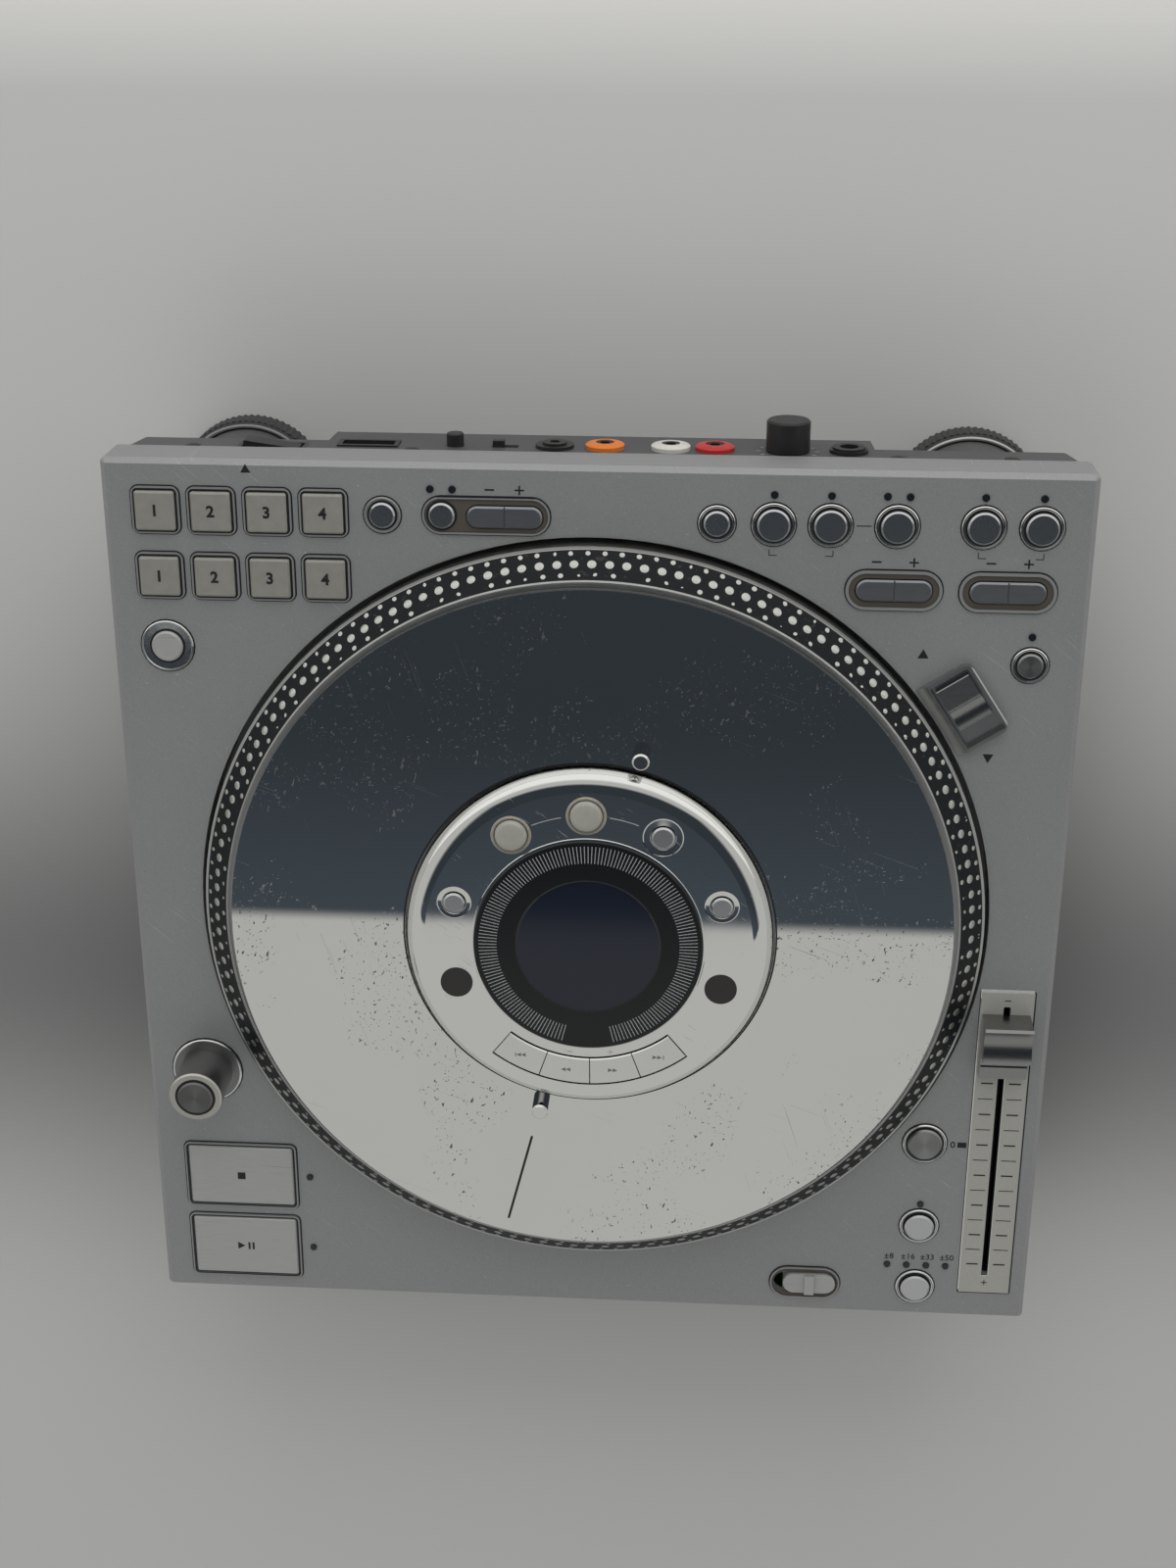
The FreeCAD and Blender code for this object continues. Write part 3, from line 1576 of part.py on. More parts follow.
def make_drive():
    body = new_body("drive_shell")
    front = pan_inner_front + dim.drive_gap
    top = slot_height_middle + dim.drive_height / 2
    outline = level_rectangle(body, "drive_outline", top, dim.drive_half_width, front,
                              front + dim.drive_length)
    pad(body, outline, dim.drive_height, down=True)
    bay = new_sketch(body, "disc_bay", "XZ_Plane", offset=1 - front)
    rectangle(bay, -dim.slot_half_width, dim.slot_half_width,
              slot_height_middle - dim.slot_height / 2,
              slot_height_middle + dim.slot_height / 2)
    pocket(body, bay, dim.drive_bay_depth + 1)
    middle = front + dim.drive_bay_depth / 2
    recess = new_sketch(body, "pickup_recess_outline",
                        offset=slot_height_middle - dim.slot_height / 2 + 0.5)
    circle(recess, 0, middle, dim.pickup_radius)
    pocket(body, recess, dim.pickup_recess + 0.5)
    drive_low = top - dim.drive_height
    posts = new_sketch(body, "drive_posts", offset=drive_low)
    for side in (LEFT, RIGHT):
        for along in (front + 12, front + dim.drive_length - 12):
            circle(posts, side * (dim.drive_half_width - 10), along, dim.drive_post_radius)
    pad(body, posts, drive_low - pan_low - dim.base_wall, down=True)
    place(body)

    spindle = new_body("drive_spindle")
    base = slot_height_middle - dim.slot_height / 2 - dim.pickup_recess
    hub = new_sketch(spindle, "spindle_outline", offset=base)
    circle(hub, 0, middle, dim.spindle_radius)
    pad(spindle, hub, dim.pickup_recess - 0.5)
    place(spindle)
    sled = new_body("laser_sled")
    block = new_sketch(sled, "sled_outline", offset=base)
    rectangle(block, -10, 10, middle + dim.spindle_radius + 3,
              middle + dim.pickup_radius - 4)
    pad(sled, block, dim.pickup_recess - 0.5)
    place(sled)
    return group("disc_drive", [body, spindle, sled])


def make_eject_key():
    body = new_body("eject_key")
    sketch = new_sketch(body, "eject_outline", "XZ_Plane", offset=-deck_front - 1.5)
    rectangle(sketch, -dim.eject_length / 2, dim.eject_length / 2,
              -dim.eject_height / 2, dim.eject_height / 2)
    pad(body, sketch, dim.eject_depth, down=True)
    place(body, dim.eject_across, 0, slot_height_middle)
    return keep(body, "eject_key")


def make_jack(name, across, outer, bore, reach, flange):
    """A turned socket through the rear wall, lying along Y."""
    body = new_body(name)
    profile = new_sketch(body, name + "_profile", "XZ_Plane")
    back = -(dim.base_wall + dim.jack_depth)
    polygon(profile, [
        (bore, reach),
        (outer, reach),
        (outer, dim.jack_flange_thickness),
        (flange, dim.jack_flange_thickness),
        (flange, 0),
        (outer, 0),
        (outer, back),
        (0, back),
        (0, back + dim.jack_back),
        (bore, back + dim.jack_back),
    ])
    revolve(body, profile)
    turn(body, X_AXIS, -90)
    place(body, across, rear_face, jack_height)
    return body


def make_rear_jacks():
    flange = dim.jack_flange
    members = [
        make_jack("headphone_socket", dim.headphone_across, dim.headphone_radius,
                  dim.headphone_bore, dim.jack_flange_thickness + 0.8, flange),
        make_jack("red_phono", dim.red_across, dim.phono_radius, dim.phono_bore,
                  dim.phono_reach, flange),
        make_jack("white_phono", dim.white_across, dim.phono_radius, dim.phono_bore,
                  dim.phono_reach, flange),
        make_jack("orange_phono", dim.orange_across, dim.phono_radius, dim.phono_bore,
                  dim.phono_reach, flange),
        make_jack("control_socket", dim.control_across, dim.phono_radius, dim.control_bore,
                  dim.jack_flange_thickness + 0.8, flange),
    ]
    inlet = new_body("mains_inlet")
    shell = new_sketch(inlet, "inlet_shell", "XZ_Plane", offset=-rear_face - 0.6)
    rectangle(shell, -dim.inlet_width / 2, dim.inlet_width / 2,
              -dim.inlet_height / 2, dim.inlet_height / 2)
    pad(inlet, shell, dim.inlet_depth + 0.6)
    mouth = new_sketch(inlet, "inlet_mouth", "XZ_Plane", offset=dim.inlet_depth - 2 - rear_face)
    rectangle(mouth, dim.inlet_wall - dim.inlet_width / 2, dim.inlet_width / 2 - dim.inlet_wall,
              dim.inlet_wall - dim.inlet_height / 2, dim.inlet_height / 2 - dim.inlet_wall)
    pocket(inlet, mouth, dim.inlet_depth)
    place(inlet, dim.inlet_across, 0, jack_height)
    members.append(inlet)

    frame = new_body("power_frame")
    outline = new_sketch(frame, "power_frame_outline", "XZ_Plane", offset=-rear_face)
    rectangle(outline, -power_side / 2, power_side / 2, -power_tall / 2, power_tall / 2)
    rectangle(outline, dim.power_frame - power_side / 2, power_side / 2 - dim.power_frame,
              dim.power_frame - power_tall / 2, power_tall / 2 - dim.power_frame)
    pad(frame, outline, dim.inlet_depth)
    place(frame, dim.power_across, 0, power_height)
    members.append(frame)
    return group("rear_jacks", members)


def make_knob(label, across, radius, reach, shaft):
    """A turned knob on a shaft through the rear wall."""
    body = new_body(label)
    profile = new_sketch(body, label + "_profile", "XZ_Plane")
    back = -(dim.base_wall + dim.jack_depth)
    polygon(profile, [
        (0, reach),
        (radius - dim.cap_bevel, reach),
        (radius, reach - dim.cap_bevel),
        (radius, dim.knob_gap),
        (shaft, dim.knob_gap),
        (shaft, back),
        (0, back),
    ])
    revolve(body, profile)
    turn(body, X_AXIS, -90)
    place(body, across, rear_face, jack_height)
    return keep(body, label)


def make_brake_knob():
    body = new_body("brake_knob")
    profile = new_sketch(body, "brake_profile", "XZ_Plane")
    polygon(profile, [
        (0, dim.brake_reach),
        (dim.brake_radius - 0.4, dim.brake_reach),
        (dim.brake_radius, dim.brake_reach - 0.4),
        (dim.brake_radius, -(dim.base_wall + dim.jack_depth)),
        (0, -(dim.base_wall + dim.jack_depth)),
    ])
    revolve(body, profile)
    turn(body, X_AXIS, -90)
    place(body, dim.brake_across, rear_face, jack_height)
    return keep(body, "brake_knob")


def make_rear_switch():
    body = new_body("rear_switch")
    sketch = new_sketch(body, "rear_switch_outline", "XZ_Plane",
                        offset=-rear_face - dim.rear_slider_reach)
    height = dim.rear_switch_height - 0.6
    rectangle(sketch, -dim.rear_slider_length / 2, dim.rear_slider_length / 2,
              -height / 2, height / 2)
    pad(body, sketch, dim.rear_slider_reach + dim.base_wall + 2)
    travel = dim.rear_switch_length - dim.rear_slider_length - 0.6
    place(body, dim.rear_switch_across - travel / 2, 0, jack_height)
    return keep(body, "rear_switch")


def make_power_rocker():
    """The mains rocker, tipped to its off side."""
    body = new_body("power_rocker")
    outline = new_sketch(body, "power_rocker_outline", "XY_Plane", offset=-dim.power_depth)
    half = dim.power_length / 2
    rectangle(outline, -half, half, -dim.power_height / 2, dim.power_height / 2)
    pad(body, outline, dim.power_depth + 1.2)
    rotation = FreeCAD.Rotation(X_AXIS, -90).multiply(
        FreeCAD.Rotation(Y_AXIS, dim.power_tilt.value)
    )
    body.Placement = FreeCAD.Placement(FreeCAD.Vector(), rotation)
    place(body, dim.power_across, rear_face, power_height)
    return keep(body, "power_rocker")


def build():
    make_top_cover()
    make_trims()
    for label, (name, side, end, kind) in round_controls.items():
        make_round_button(label, round_places[label], cap_radii[kind], cap_rises[kind], cap_under)
    for label, place_xy in pad_places.items():
        make_square_cap(label, place_xy, dim.pad_side, dim.pad_side, dim.pad_corner, dim.pad_rise)
    for label, place_xy in rocker_places.items():
        make_rocker(label, place_xy)
    for label, place_xy in key_places.items():
        make_square_cap(label, place_xy, dim.key_length, dim.key_width, dim.key_corner,
                        dim.key_rise)
    make_slider()
    make_fader()
    make_direction_lever()
    make_free_wheel_button()

    make_platter()
    keep(
        make_ring("slipmat", dim.disc_bore + 0.6, dim.disc_radius, dim.web_height,
                  dim.slipmat_thickness),
        "slipmat",
    )
    make_disc()
    make_stator()
    make_hub()
    for index in range(4):
        make_arc_key(f"arc_key_{index + 1}", index)
    for label, (place_xy, radius) in hub_places.items():
        make_round_button(label, place_xy, radius, 1.2, -(dim.hub_plate + dim.stop_gap),
                          dim.hub_face_height)
    make_bezel()
    make_boards()
    make_bottom_cover()
    foot_names = ["foot_front_left", "foot_rear_left", "foot_front_right", "foot_rear_right"]
    for label, place_xy in zip(foot_names, boss_places):
        make_foot(label, place_xy)
    make_drive()
    make_eject_key()
    make_rear_jacks()
    make_knob("volume_knob", dim.volume_across, dim.volume_radius, dim.volume_reach,
              dim.shaft_radius)
    make_brake_knob()
    make_rear_switch()
    make_power_rocker()


def check_and_write():
    doc.recompute()
    for item in doc.Objects:
        if "Invalid" in item.State or "Error" in item.State:
            raise RuntimeError(f"{item.Label} did not recompute: {item.State}")
    os.makedirs("parts", exist_ok=True)
    for item in nodes:
        shape = item.Shape
        if shape.isNull() or not shape.isValid() or not shape.Solids:
            raise RuntimeError(f"{item.Label} has no valid solid")
        shape.exportStep(f"parts/{item.Label}.step")
        box = shape.BoundBox
        print(
            f"{item.Label:20s} {len(shape.Solids):3d} solids {shape.Volume / 1000:9.2f} cm3 "
            f"x {box.XMin:7.1f} {box.XMax:7.1f} y {box.YMin:7.1f} {box.YMax:7.1f} "
            f"z {box.ZMin:6.1f} {box.ZMax:6.1f}"
        )
    print(len(nodes), "nodes")


build()
check_and_write()
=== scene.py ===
"""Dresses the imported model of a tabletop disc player: materials, printed marks, light and camera."""

import math

import bmesh
import bpy
from mathutils import Matrix, Vector


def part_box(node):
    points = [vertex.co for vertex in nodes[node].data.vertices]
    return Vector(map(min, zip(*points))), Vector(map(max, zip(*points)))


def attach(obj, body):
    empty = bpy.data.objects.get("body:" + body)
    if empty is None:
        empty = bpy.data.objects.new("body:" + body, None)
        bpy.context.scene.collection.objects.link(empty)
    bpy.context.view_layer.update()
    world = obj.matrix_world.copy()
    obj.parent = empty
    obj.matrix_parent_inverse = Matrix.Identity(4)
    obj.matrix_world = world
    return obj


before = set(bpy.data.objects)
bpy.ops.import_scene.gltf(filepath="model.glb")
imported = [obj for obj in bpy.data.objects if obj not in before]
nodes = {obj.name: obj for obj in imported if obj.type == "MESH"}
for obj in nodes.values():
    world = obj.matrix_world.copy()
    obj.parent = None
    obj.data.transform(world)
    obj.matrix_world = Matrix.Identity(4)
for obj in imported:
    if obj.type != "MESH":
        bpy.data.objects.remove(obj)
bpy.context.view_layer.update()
MM = 0.001

SMALL_CAPS = ("memory_button", "execute_button", "instant_button")
ROUND_CAPS = ("load_button", "save_button", "panel_button", "effect_1_button",
              "effect_2_button", "lock_button", "range_button")
SHORT_ROCKERS = ("bank_rocker", "type_rocker")
LARGE_KEYS = ("cue_key", "play_key")
LOOP_BUTTONS = ("out_button", "in_button")
PADS = [f"pad_{number}" for number in range(1, 9)]
ARC_KEYS = [f"arc_key_{number}" for number in range(1, 5)]
FEET = ("foot_front_left", "foot_rear_left", "foot_front_right", "foot_rear_right")


# Places read from the frame, in metres

def middle(node):
    """The middle of a node's box, with Z at its top."""
    low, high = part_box(node)
    return Vector(((low.x + high.x) / 2, (low.y + high.y) / 2, high.z))


def half_width(node):
    low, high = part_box(node)
    return (high.x - low.x) / 2


DECK_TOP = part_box("top_cover")[1].z
AXIS = middle("platter")
DISC_RADIUS = half_width("slipmat")
DISC_THICKNESS = 1.8 * MM
DISC_TOP = middle("slipmat").z + DISC_THICKNESS
PLATTER_RADIUS = half_width("platter")
RIM_TOP = DECK_TOP + 12.8 * MM
HUB_FACE = DECK_TOP + 22.0 * MM
POST_TOP = DECK_TOP + 20.6 * MM
PLATE_TOP = DECK_TOP + 0.4 * MM
BEZEL_TOP = middle("display_bezel").z
REAR_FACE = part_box("bottom_cover")[1].y
JACK_LEVEL = (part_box("volume_knob")[0].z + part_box("volume_knob")[1].z) / 2
FADER_ACROSS = 150.1
POST_CAP_RADIUS = 6.5
PRINT_SINK = 0.02 * MM


def on_deck(across, along):
    """A place in mm from the platter's axis on the deck's face, as metres in the frame."""
    return Vector((across * MM, AXIS.y + along * MM, DECK_TOP))


def around(place, points):
    """Points in mm about a place, as metres in the frame."""
    return [(place[0] + x * MM, place[1] + y * MM) for x, y in points]


def polar(radius, angle):
    return radius * math.cos(angle), radius * math.sin(angle)


def print_levels(face, rise=0.03):
    """The lower and upper height of a mark printed on a face, its rise in mm."""
    return face - PRINT_SINK, face + rise * MM


# Mesh helpers: places and levels are in metres, sizes in mm

def finish_mesh(name, mesh, material, body, sharp=35):
    """Makes the piece, smooths its round faces and hangs it on its body."""
    mesh.validate()
    for polygon in mesh.polygons:
        polygon.use_smooth = True
    mesh.set_sharp_from_angle(angle=math.radians(sharp))
    piece = bpy.data.objects.new(name, mesh)
    bpy.context.scene.collection.objects.link(piece)
    mesh.materials.clear()
    mesh.materials.append(material)
    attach(piece, body)


def from_bmesh(name, work, material, body, sharp=35):
    bmesh.ops.recalc_face_normals(work, faces=work.faces)
    mesh = bpy.data.meshes.new(name)
    work.to_mesh(mesh)
    work.free()
    finish_mesh(name, mesh, material, body, sharp)


def dark_print(name, work, body="root"):
    from_bmesh(name, work, dark_ink, body)


def pale_print(name, work):
    from_bmesh(name, work, pale_ink, "root")


def ring_pairs(items):
    """Each item with the one after it, and the last with the first."""
    return list(zip(items, items[1:] + items[:1]))


def join_rings(work, lower, upper):
    """Makes the faces between two rings of corners."""
    for (low, high), (next_low, next_high) in ring_pairs(list(zip(lower, upper))):
        work.faces.new((low, next_low, next_high, high))


def add_slab(work, outline, levels):
    """A flat piece with a closed outline in metres, between two levels."""
    lower, upper = [[work.verts.new((x, y, level)) for x, y in outline] for level in levels]
    work.faces.new(list(reversed(lower)))
    work.faces.new(upper)
    join_rings(work, lower, upper)


def add_band(work, points, levels, closed):
    """A flat band given as pairs of inner and outer points in metres."""
    low, high = levels
    rings = []
    for inner, outer in points:
        corners = ((*inner, low), (*outer, low), (*outer, high), (*inner, high))
        rings.append([work.verts.new(corner) for corner in corners])
    pairs = ring_pairs(rings)
    for here, after in pairs if closed else pairs[:-1]:
        join_rings(work, here, after)
    if not closed:
        work.faces.new(rings[0])
        work.faces.new(list(reversed(rings[-1])))


def add_bar(work, place, start, end, width, levels):
    """A straight line printed between two points about a place."""
    start, end = [Vector(point) for point in around(place, (start, end))]
    side = (end - start).normalized().orthogonal() * width * MM / 2
    outline = (start - side, end - side, end + side, start + side)
    add_slab(work, [tuple(point) for point in outline], levels)


def add_ray(work, degrees, start, end, width, levels):
    """A line printed outwards from the platter's axis, between two distances."""
    angle = math.radians(degrees)
    add_bar(work, AXIS, polar(start, angle), polar(end, angle), width, levels)


def add_arc(work, radius, width, levels, start=0, end=360, steps=144):
    """An arc printed about the platter's axis between two angles in degrees, or a whole ring."""
    closed = end - start == 360
    points = []
    for index in range(steps if closed else steps + 1):
        angle = math.radians(start + (end - start) * index / steps)
        points.append(around(AXIS, [polar(radius + side * width / 2, angle) for side in (-1, 1)]))
    add_band(work, points, levels, closed)


def add_sign(work, place, size, width, plus, levels):
    """A printed minus, or a plus."""
    half = size / 2
    arm = width / 2
    outline = [(-half, -arm), (half, -arm), (half, arm), (-half, arm)]
    if plus:
        outline = []
        corners = [(-half, -arm), (-arm, -arm), (-arm, -half)]
        for quarter in range(4):
            outline += corners
            corners = [(-y, x) for x, y in corners]
    add_slab(work, around(place, outline), levels)


def add_lathe(work, profile, place, segments=64, axis="Z"):
    """A closed profile of radius and height turned round an axis through a place."""
    turn = Matrix.Rotation(math.radians(-90 if axis == "Y" else 0), 3, "X")
    rings = []
    for index in range(segments):
        angle = 2 * math.pi * index / segments
        ring = []
        for radius, height in profile:
            point = turn @ Vector((*polar(radius * MM, angle), height * MM))
            ring.append(work.verts.new(Vector(place) + point))
        rings.append(ring)
    for here, after in ring_pairs(rings):
        join_rings(work, after, here)
    on_axis = [vertex for ring in rings for vertex, (radius, height) in zip(ring, profile)
               if radius == 0]
    if on_axis:
        bmesh.ops.remove_doubles(work, verts=on_axis, dist=1e-7)


def lathe(name, profile, place, material, body, segments=64, axis="Z", sharp=35):
    work = bmesh.new()
    add_lathe(work, profile, place, segments, axis)
    from_bmesh(name, work, material, body, sharp)


def numeral(name, text, size, place, body="root", bold=0.05):
    """A plain printed numeral, centred on a place and read from the front."""
    thickness = 0.05
    lift = 0.02
    curve = bpy.data.curves.new(name, "FONT")
    curve.body = text
    curve.size = size * MM
    curve.extrude = thickness * MM / 2
    curve.offset = bold * MM
    curve.resolution_u = 4
    curve.align_x = "CENTER"
    curve.align_y = "CENTER"
    holder = bpy.data.objects.new(name + "_outline", curve)
    bpy.context.scene.collection.objects.link(holder)
    bpy.context.view_layer.update()
    mesh = bpy.data.meshes.new_from_object(holder)
    bpy.data.objects.remove(holder)
    mesh.transform(Matrix.Translation((place.x, place.y, place.z + lift * MM)))
    finish_mesh(name, mesh, dark_ink, body)


# Node helpers

MIX_FACTOR = 0
MIX_FIRST = 6
MIX_SECOND = 7
MIX_COLOUR = 2
NOISE_ROUGHNESS = 0.55


class Nodes:
    """A node tree, with short ways to add what the finishes and the world are made of."""

    def __init__(self, tree, ramp="LINEAR"):
        self.tree = tree
        self.ramp = ramp

    def join(self, value, target):
        """Links a result to an input, or sets the input to a value."""
        if isinstance(value, bpy.types.NodeSocket):
            self.tree.links.new(value, target)
        elif target.type == "RGBA":
            target.default_value = (*value, 1.0)
        else:
            target.default_value = value

    def add(self, kind, inputs=(), output=0, **settings):
        """Adds a node, fills its inputs by name or in order, and gives one result."""
        node = self.tree.nodes.new("ShaderNode" + kind)
        for setting, value in settings.items():
            setattr(node, setting, value)
        for key, value in inputs.items() if isinstance(inputs, dict) else enumerate(inputs):
            self.join(value, node.inputs[key])
        return node.outputs[output]

    def math(self, operation, first, second=0.0):
        return self.add("Math", (first, second), operation=operation)

    def times(self, first, second):
        return self.math("MULTIPLY", first, second)

    def plus(self, first, second):
        return self.math("ADD", first, second)

    def less(self, first, second):
        return self.math("SUBTRACT", first, second)

    def most(self, values):
        result = values[0]
        for value in values[1:]:
            result = self.math("MAXIMUM", result, value)
        return result

    def vector(self, operation, first, second=(0.0, 0.0, 0.0)):
        output = "Value" if operation == "LENGTH" else "Vector"
        return self.add("VectorMath", (first, second), output, operation=operation)

    def parts(self, vector):
        """The X, Y and Z of a vector."""
        return self.add("SeparateXYZ", (vector,)).node.outputs

    def step(self, value, edge, width):
        """0 below an edge and 1 above it, with a soft change of the given width."""
        inputs = (value, edge - width / 2, edge + width / 2)
        return self.add("MapRange", inputs, interpolation_type=self.ramp)

    def below(self, value, edge, width):
        """1 below an edge and 0 above it."""
        return self.less(1.0, self.step(value, edge, width))

    def between(self, value, low, high, width):
        """1 between two edges, and 0 outside them."""
        return self.less(self.step(value, low, width), self.step(value, high, width))

    def spread(self, value, low, high):
        """Maps 0 to 1 onto a range."""
        return self.add("MapRange", {"Value": value, "To Min": low, "To Max": high})

    def mix(self, factor, first, second):
        inputs = {MIX_FACTOR: factor, MIX_FIRST: first, MIX_SECOND: second}
        return self.add("Mix", inputs, MIX_COLOUR, data_type="RGBA")


class Finish(Nodes):
    """A material whose colour, roughness and relief are made of procedural nodes."""

    def __init__(self, name, colour, metallic=0.0, roughness=0.5):
        self.material = bpy.data.materials.new(name)
        self.material.use_nodes = True
        super().__init__(self.material.node_tree)
        self.shader = self.tree.nodes["Principled BSDF"]
        self.colour = colour
        self.tone = colour
        self.put("Base Color", colour)
        self.put("Metallic", metallic)
        self.put("Roughness", roughness)
        self.place = self.add("TexCoord", output="Object")

    def put(self, name, value):
        """Sets one of the shader's inputs."""
        self.join(value, self.shader.inputs[name])

    def paint(self, pattern, first, second):
        """Colours the surface between two tones by a pattern."""
        self.tone = self.mix(pattern, first, second)
        self.put("Base Color", self.tone)

    def cover(self, mask, colour, share=1.0):
        """Lays a share of another colour over the tone where a mask is 1."""
        self.paint(mask if share == 1.0 else self.times(mask, share), self.tone, colour)

    def noise(self, scale, detail=3.0, place=None):
        return self.add("TexNoise", {
            "Vector": self.place if place is None else place,
            "Scale": scale,
            "Detail": detail,
            "Roughness": NOISE_ROUGHNESS,
        })

    def stretched(self, scales, angle=0.0):
        """The surface's place turned about Z and stretched, for lines and scratches."""
        turned = self.add("Mapping", {"Vector": self.place, "Rotation": (0.0, 0.0, angle)})
        return self.vector("MULTIPLY", turned, scales)

    def radius(self, centre=AXIS):
        """The distance from a vertical axis, the platter's by default."""
        offset = self.vector("SUBTRACT", self.place, (centre.x, centre.y, 0.0))
        return self.vector("LENGTH", self.vector("MULTIPLY", offset, (1.0, 1.0, 0.0)))

    def bump(self, height, strength, distance):
        """Relief of a strength and of a distance in mm."""
        inputs = {"Strength": strength, "Distance": distance * MM, "Height": height}
        self.put("Normal", self.add("Bump", inputs))

    def scratches(self, across, along, angle, level, breadth=0.02, patches=60.0):
        """Thin lines in one direction, kept to patches."""
        lines = self.noise(1.0, 1.0, self.stretched((along, across, 1.0), angle))
        mask = self.step(self.noise(patches, 1.0), 0.56, 0.06)
        return self.times(self.step(lines, level, breadth), mask)

    def specks(self, scale, level, breadth):
        """Small spots scattered over the surface."""
        return self.step(self.noise(scale, 2.0), level, breadth)


def even_finish(name, colour, metallic=0.0, roughness=0.5, grain=700.0, detail=3.0,
                tones=(), rough=(), relief=()):
    """A finish whose tone, roughness and relief follow one pattern.

    The grain is the pattern's scale, or three scales that draw it out into brushed lines.
    """
    finish = Finish(name, colour, metallic, roughness)
    if isinstance(grain, tuple):
        pattern = finish.noise(1.0, detail, finish.stretched(grain))
    else:
        pattern = finish.noise(grain, detail)
    if tones:
        finish.paint(pattern, *tones)
    if rough:
        finish.put("Roughness", finish.spread(pattern, *rough))
    if relief:
        finish.bump(pattern, *relief)
    return finish


def shade(colour, factor):
    return tuple(channel * factor for channel in colour)


# Materials

SILVER = (0.37, 0.374, 0.378)
EDGE_WIDTH = 0.1 * MM


def deck_paint():
    """Silver paint with fine metal grain, a few dust specks and worn spots."""
    finish = Finish("deck_paint", SILVER, metallic=0.6, roughness=0.55)
    grain = finish.noise(3600.0, 2.0)
    cloud = finish.noise(26.0)
    scuffs = finish.scratches(across=1500.0, along=60.0, angle=0.7, level=0.70, breadth=0.03,
                              patches=24.0)
    dust = finish.specks(scale=850.0, level=0.74, breadth=0.03)
    finish.paint(grain, shade(SILVER, 0.62), shade(SILVER, 1.38))
    finish.cover(cloud, shade(SILVER, 1.15), share=0.5)
    finish.cover(scuffs, (0.62, 0.62, 0.60), share=0.4)
    finish.cover(dust, (0.75, 0.75, 0.72), share=0.5)
    finish.put("Roughness", finish.spread(cloud, 0.5, 0.6))
    finish.bump(grain, strength=0.3, distance=0.02)
    return finish.material


def chrome_trim():
    """Bright turned trim, satin frames, and the dark floors of the recesses round the rockers."""
    finish = Finish("chrome_trim", (0.85, 0.85, 0.84), metallic=1.0, roughness=0.16)
    wear = finish.noise(600.0)
    x, y, height = finish.parts(finish.place)

    def inside(name, reach_x, reach_y, shift_x=0.0):
        """1 within a rectangle round a node, sized in mm."""
        centre = middle(name)
        left, right = [centre.x + (shift_x + side * reach_x) * MM for side in (-1, 1)]
        front, rear = [centre.y + side * reach_y * MM for side in (-1, 1)]
        width = 0.05 * MM
        return finish.times(finish.between(x, left, right, width),
                            finish.between(y, front, rear, width))

    recesses = [inside("bank_rocker", 16.3, 7.0), inside("type_rocker", 16.3, 7.0),
                inside("mode_slider", 15.0, 7.0), inside("trim_rocker", 21.5, 6.5, -6.2)]
    low = finish.below(height, PLATE_TOP, EDGE_WIDTH)
    floor = finish.times(finish.most(recesses), low)
    painted = finish.most([inside("cue_key", 22.0, 14.5), inside("play_key", 22.0, 14.5),
                           inside("pad_1", 66.0, 32.0, 28.5)] + recesses)
    housing_reach = 22.0 * MM
    housing = finish.below(finish.radius(middle("direction_switch")), housing_reach, EDGE_WIDTH)
    post_radius = 9.85 * MM
    dish_radius = 12.3 * MM
    crown_height = 0.6 * MM
    from_post = finish.radius(middle("free_wheel_button"))
    post = finish.below(from_post, post_radius, EDGE_WIDTH)
    crown = finish.times(post, finish.step(height, POST_TOP - crown_height, 0.3 * MM))
    # Painted shade: the concave dish round the post is darkened.
    shaded_dish = finish.between(from_post, post_radius, dish_radius, 0.2 * MM)
    finish.paint(wear, (0.80, 0.80, 0.79), (0.88, 0.88, 0.87))
    finish.cover(shaded_dish, (0.33, 0.33, 0.33))
    finish.cover(housing, (0.50, 0.50, 0.495))
    finish.cover(painted, SILVER)
    finish.cover(post, (0.40, 0.40, 0.39))
    finish.cover(crown, (0.62, 0.60, 0.56))
    finish.cover(floor, (0.10, 0.088, 0.074))
    dull = finish.most([finish.times(floor, 0.8), finish.times(painted, 0.4)])
    finish.put("Metallic", finish.less(1.0, dull))
    satin = [finish.times(mask, roughness)
             for mask, roughness in ((painted, 0.5), (post, 0.3), (housing, 0.28), (shaded_dish, 0.4))]
    finish.put("Roughness", finish.most([finish.spread(wear, 0.1, 0.24)] + satin))
    return finish.material


def platter_finish():
    """Bright turned lands beside a black band, told apart by their distance from the axis."""
    finish = Finish("platter_finish", (0.02, 0.02, 0.022), roughness=0.32)
    reach = finish.radius()
    outer_land = PLATTER_RADIUS - 1.0 * MM
    inner_land = DISC_RADIUS + 2.6 * MM
    bright = finish.most([finish.step(reach, outer_land, EDGE_WIDTH),
                          finish.below(reach, inner_land, EDGE_WIDTH)])
    dust = finish.specks(scale=500.0, level=0.68, breadth=0.05)
    finish.paint(dust, (0.006, 0.007, 0.009), (0.03, 0.03, 0.03))
    finish.cover(bright, (0.52, 0.52, 0.51))
    finish.put("Metallic", bright)
    finish.put("Specular IOR Level", 0.25)
    finish.put("Roughness", finish.spread(finish.noise(300.0), 0.3, 0.48))
    return finish.material


def felt():
    """The black felt of the slipmat."""
    finish = even_finish("slip_felt", (0.02, 0.02, 0.022), roughness=0.95, grain=2500.0, detail=4.0,
                         tones=((0.01, 0.01, 0.011), (0.05, 0.05, 0.05)), relief=(0.5, 0.2))
    finish.put("Sheen Weight", 0.4)
    return finish.material


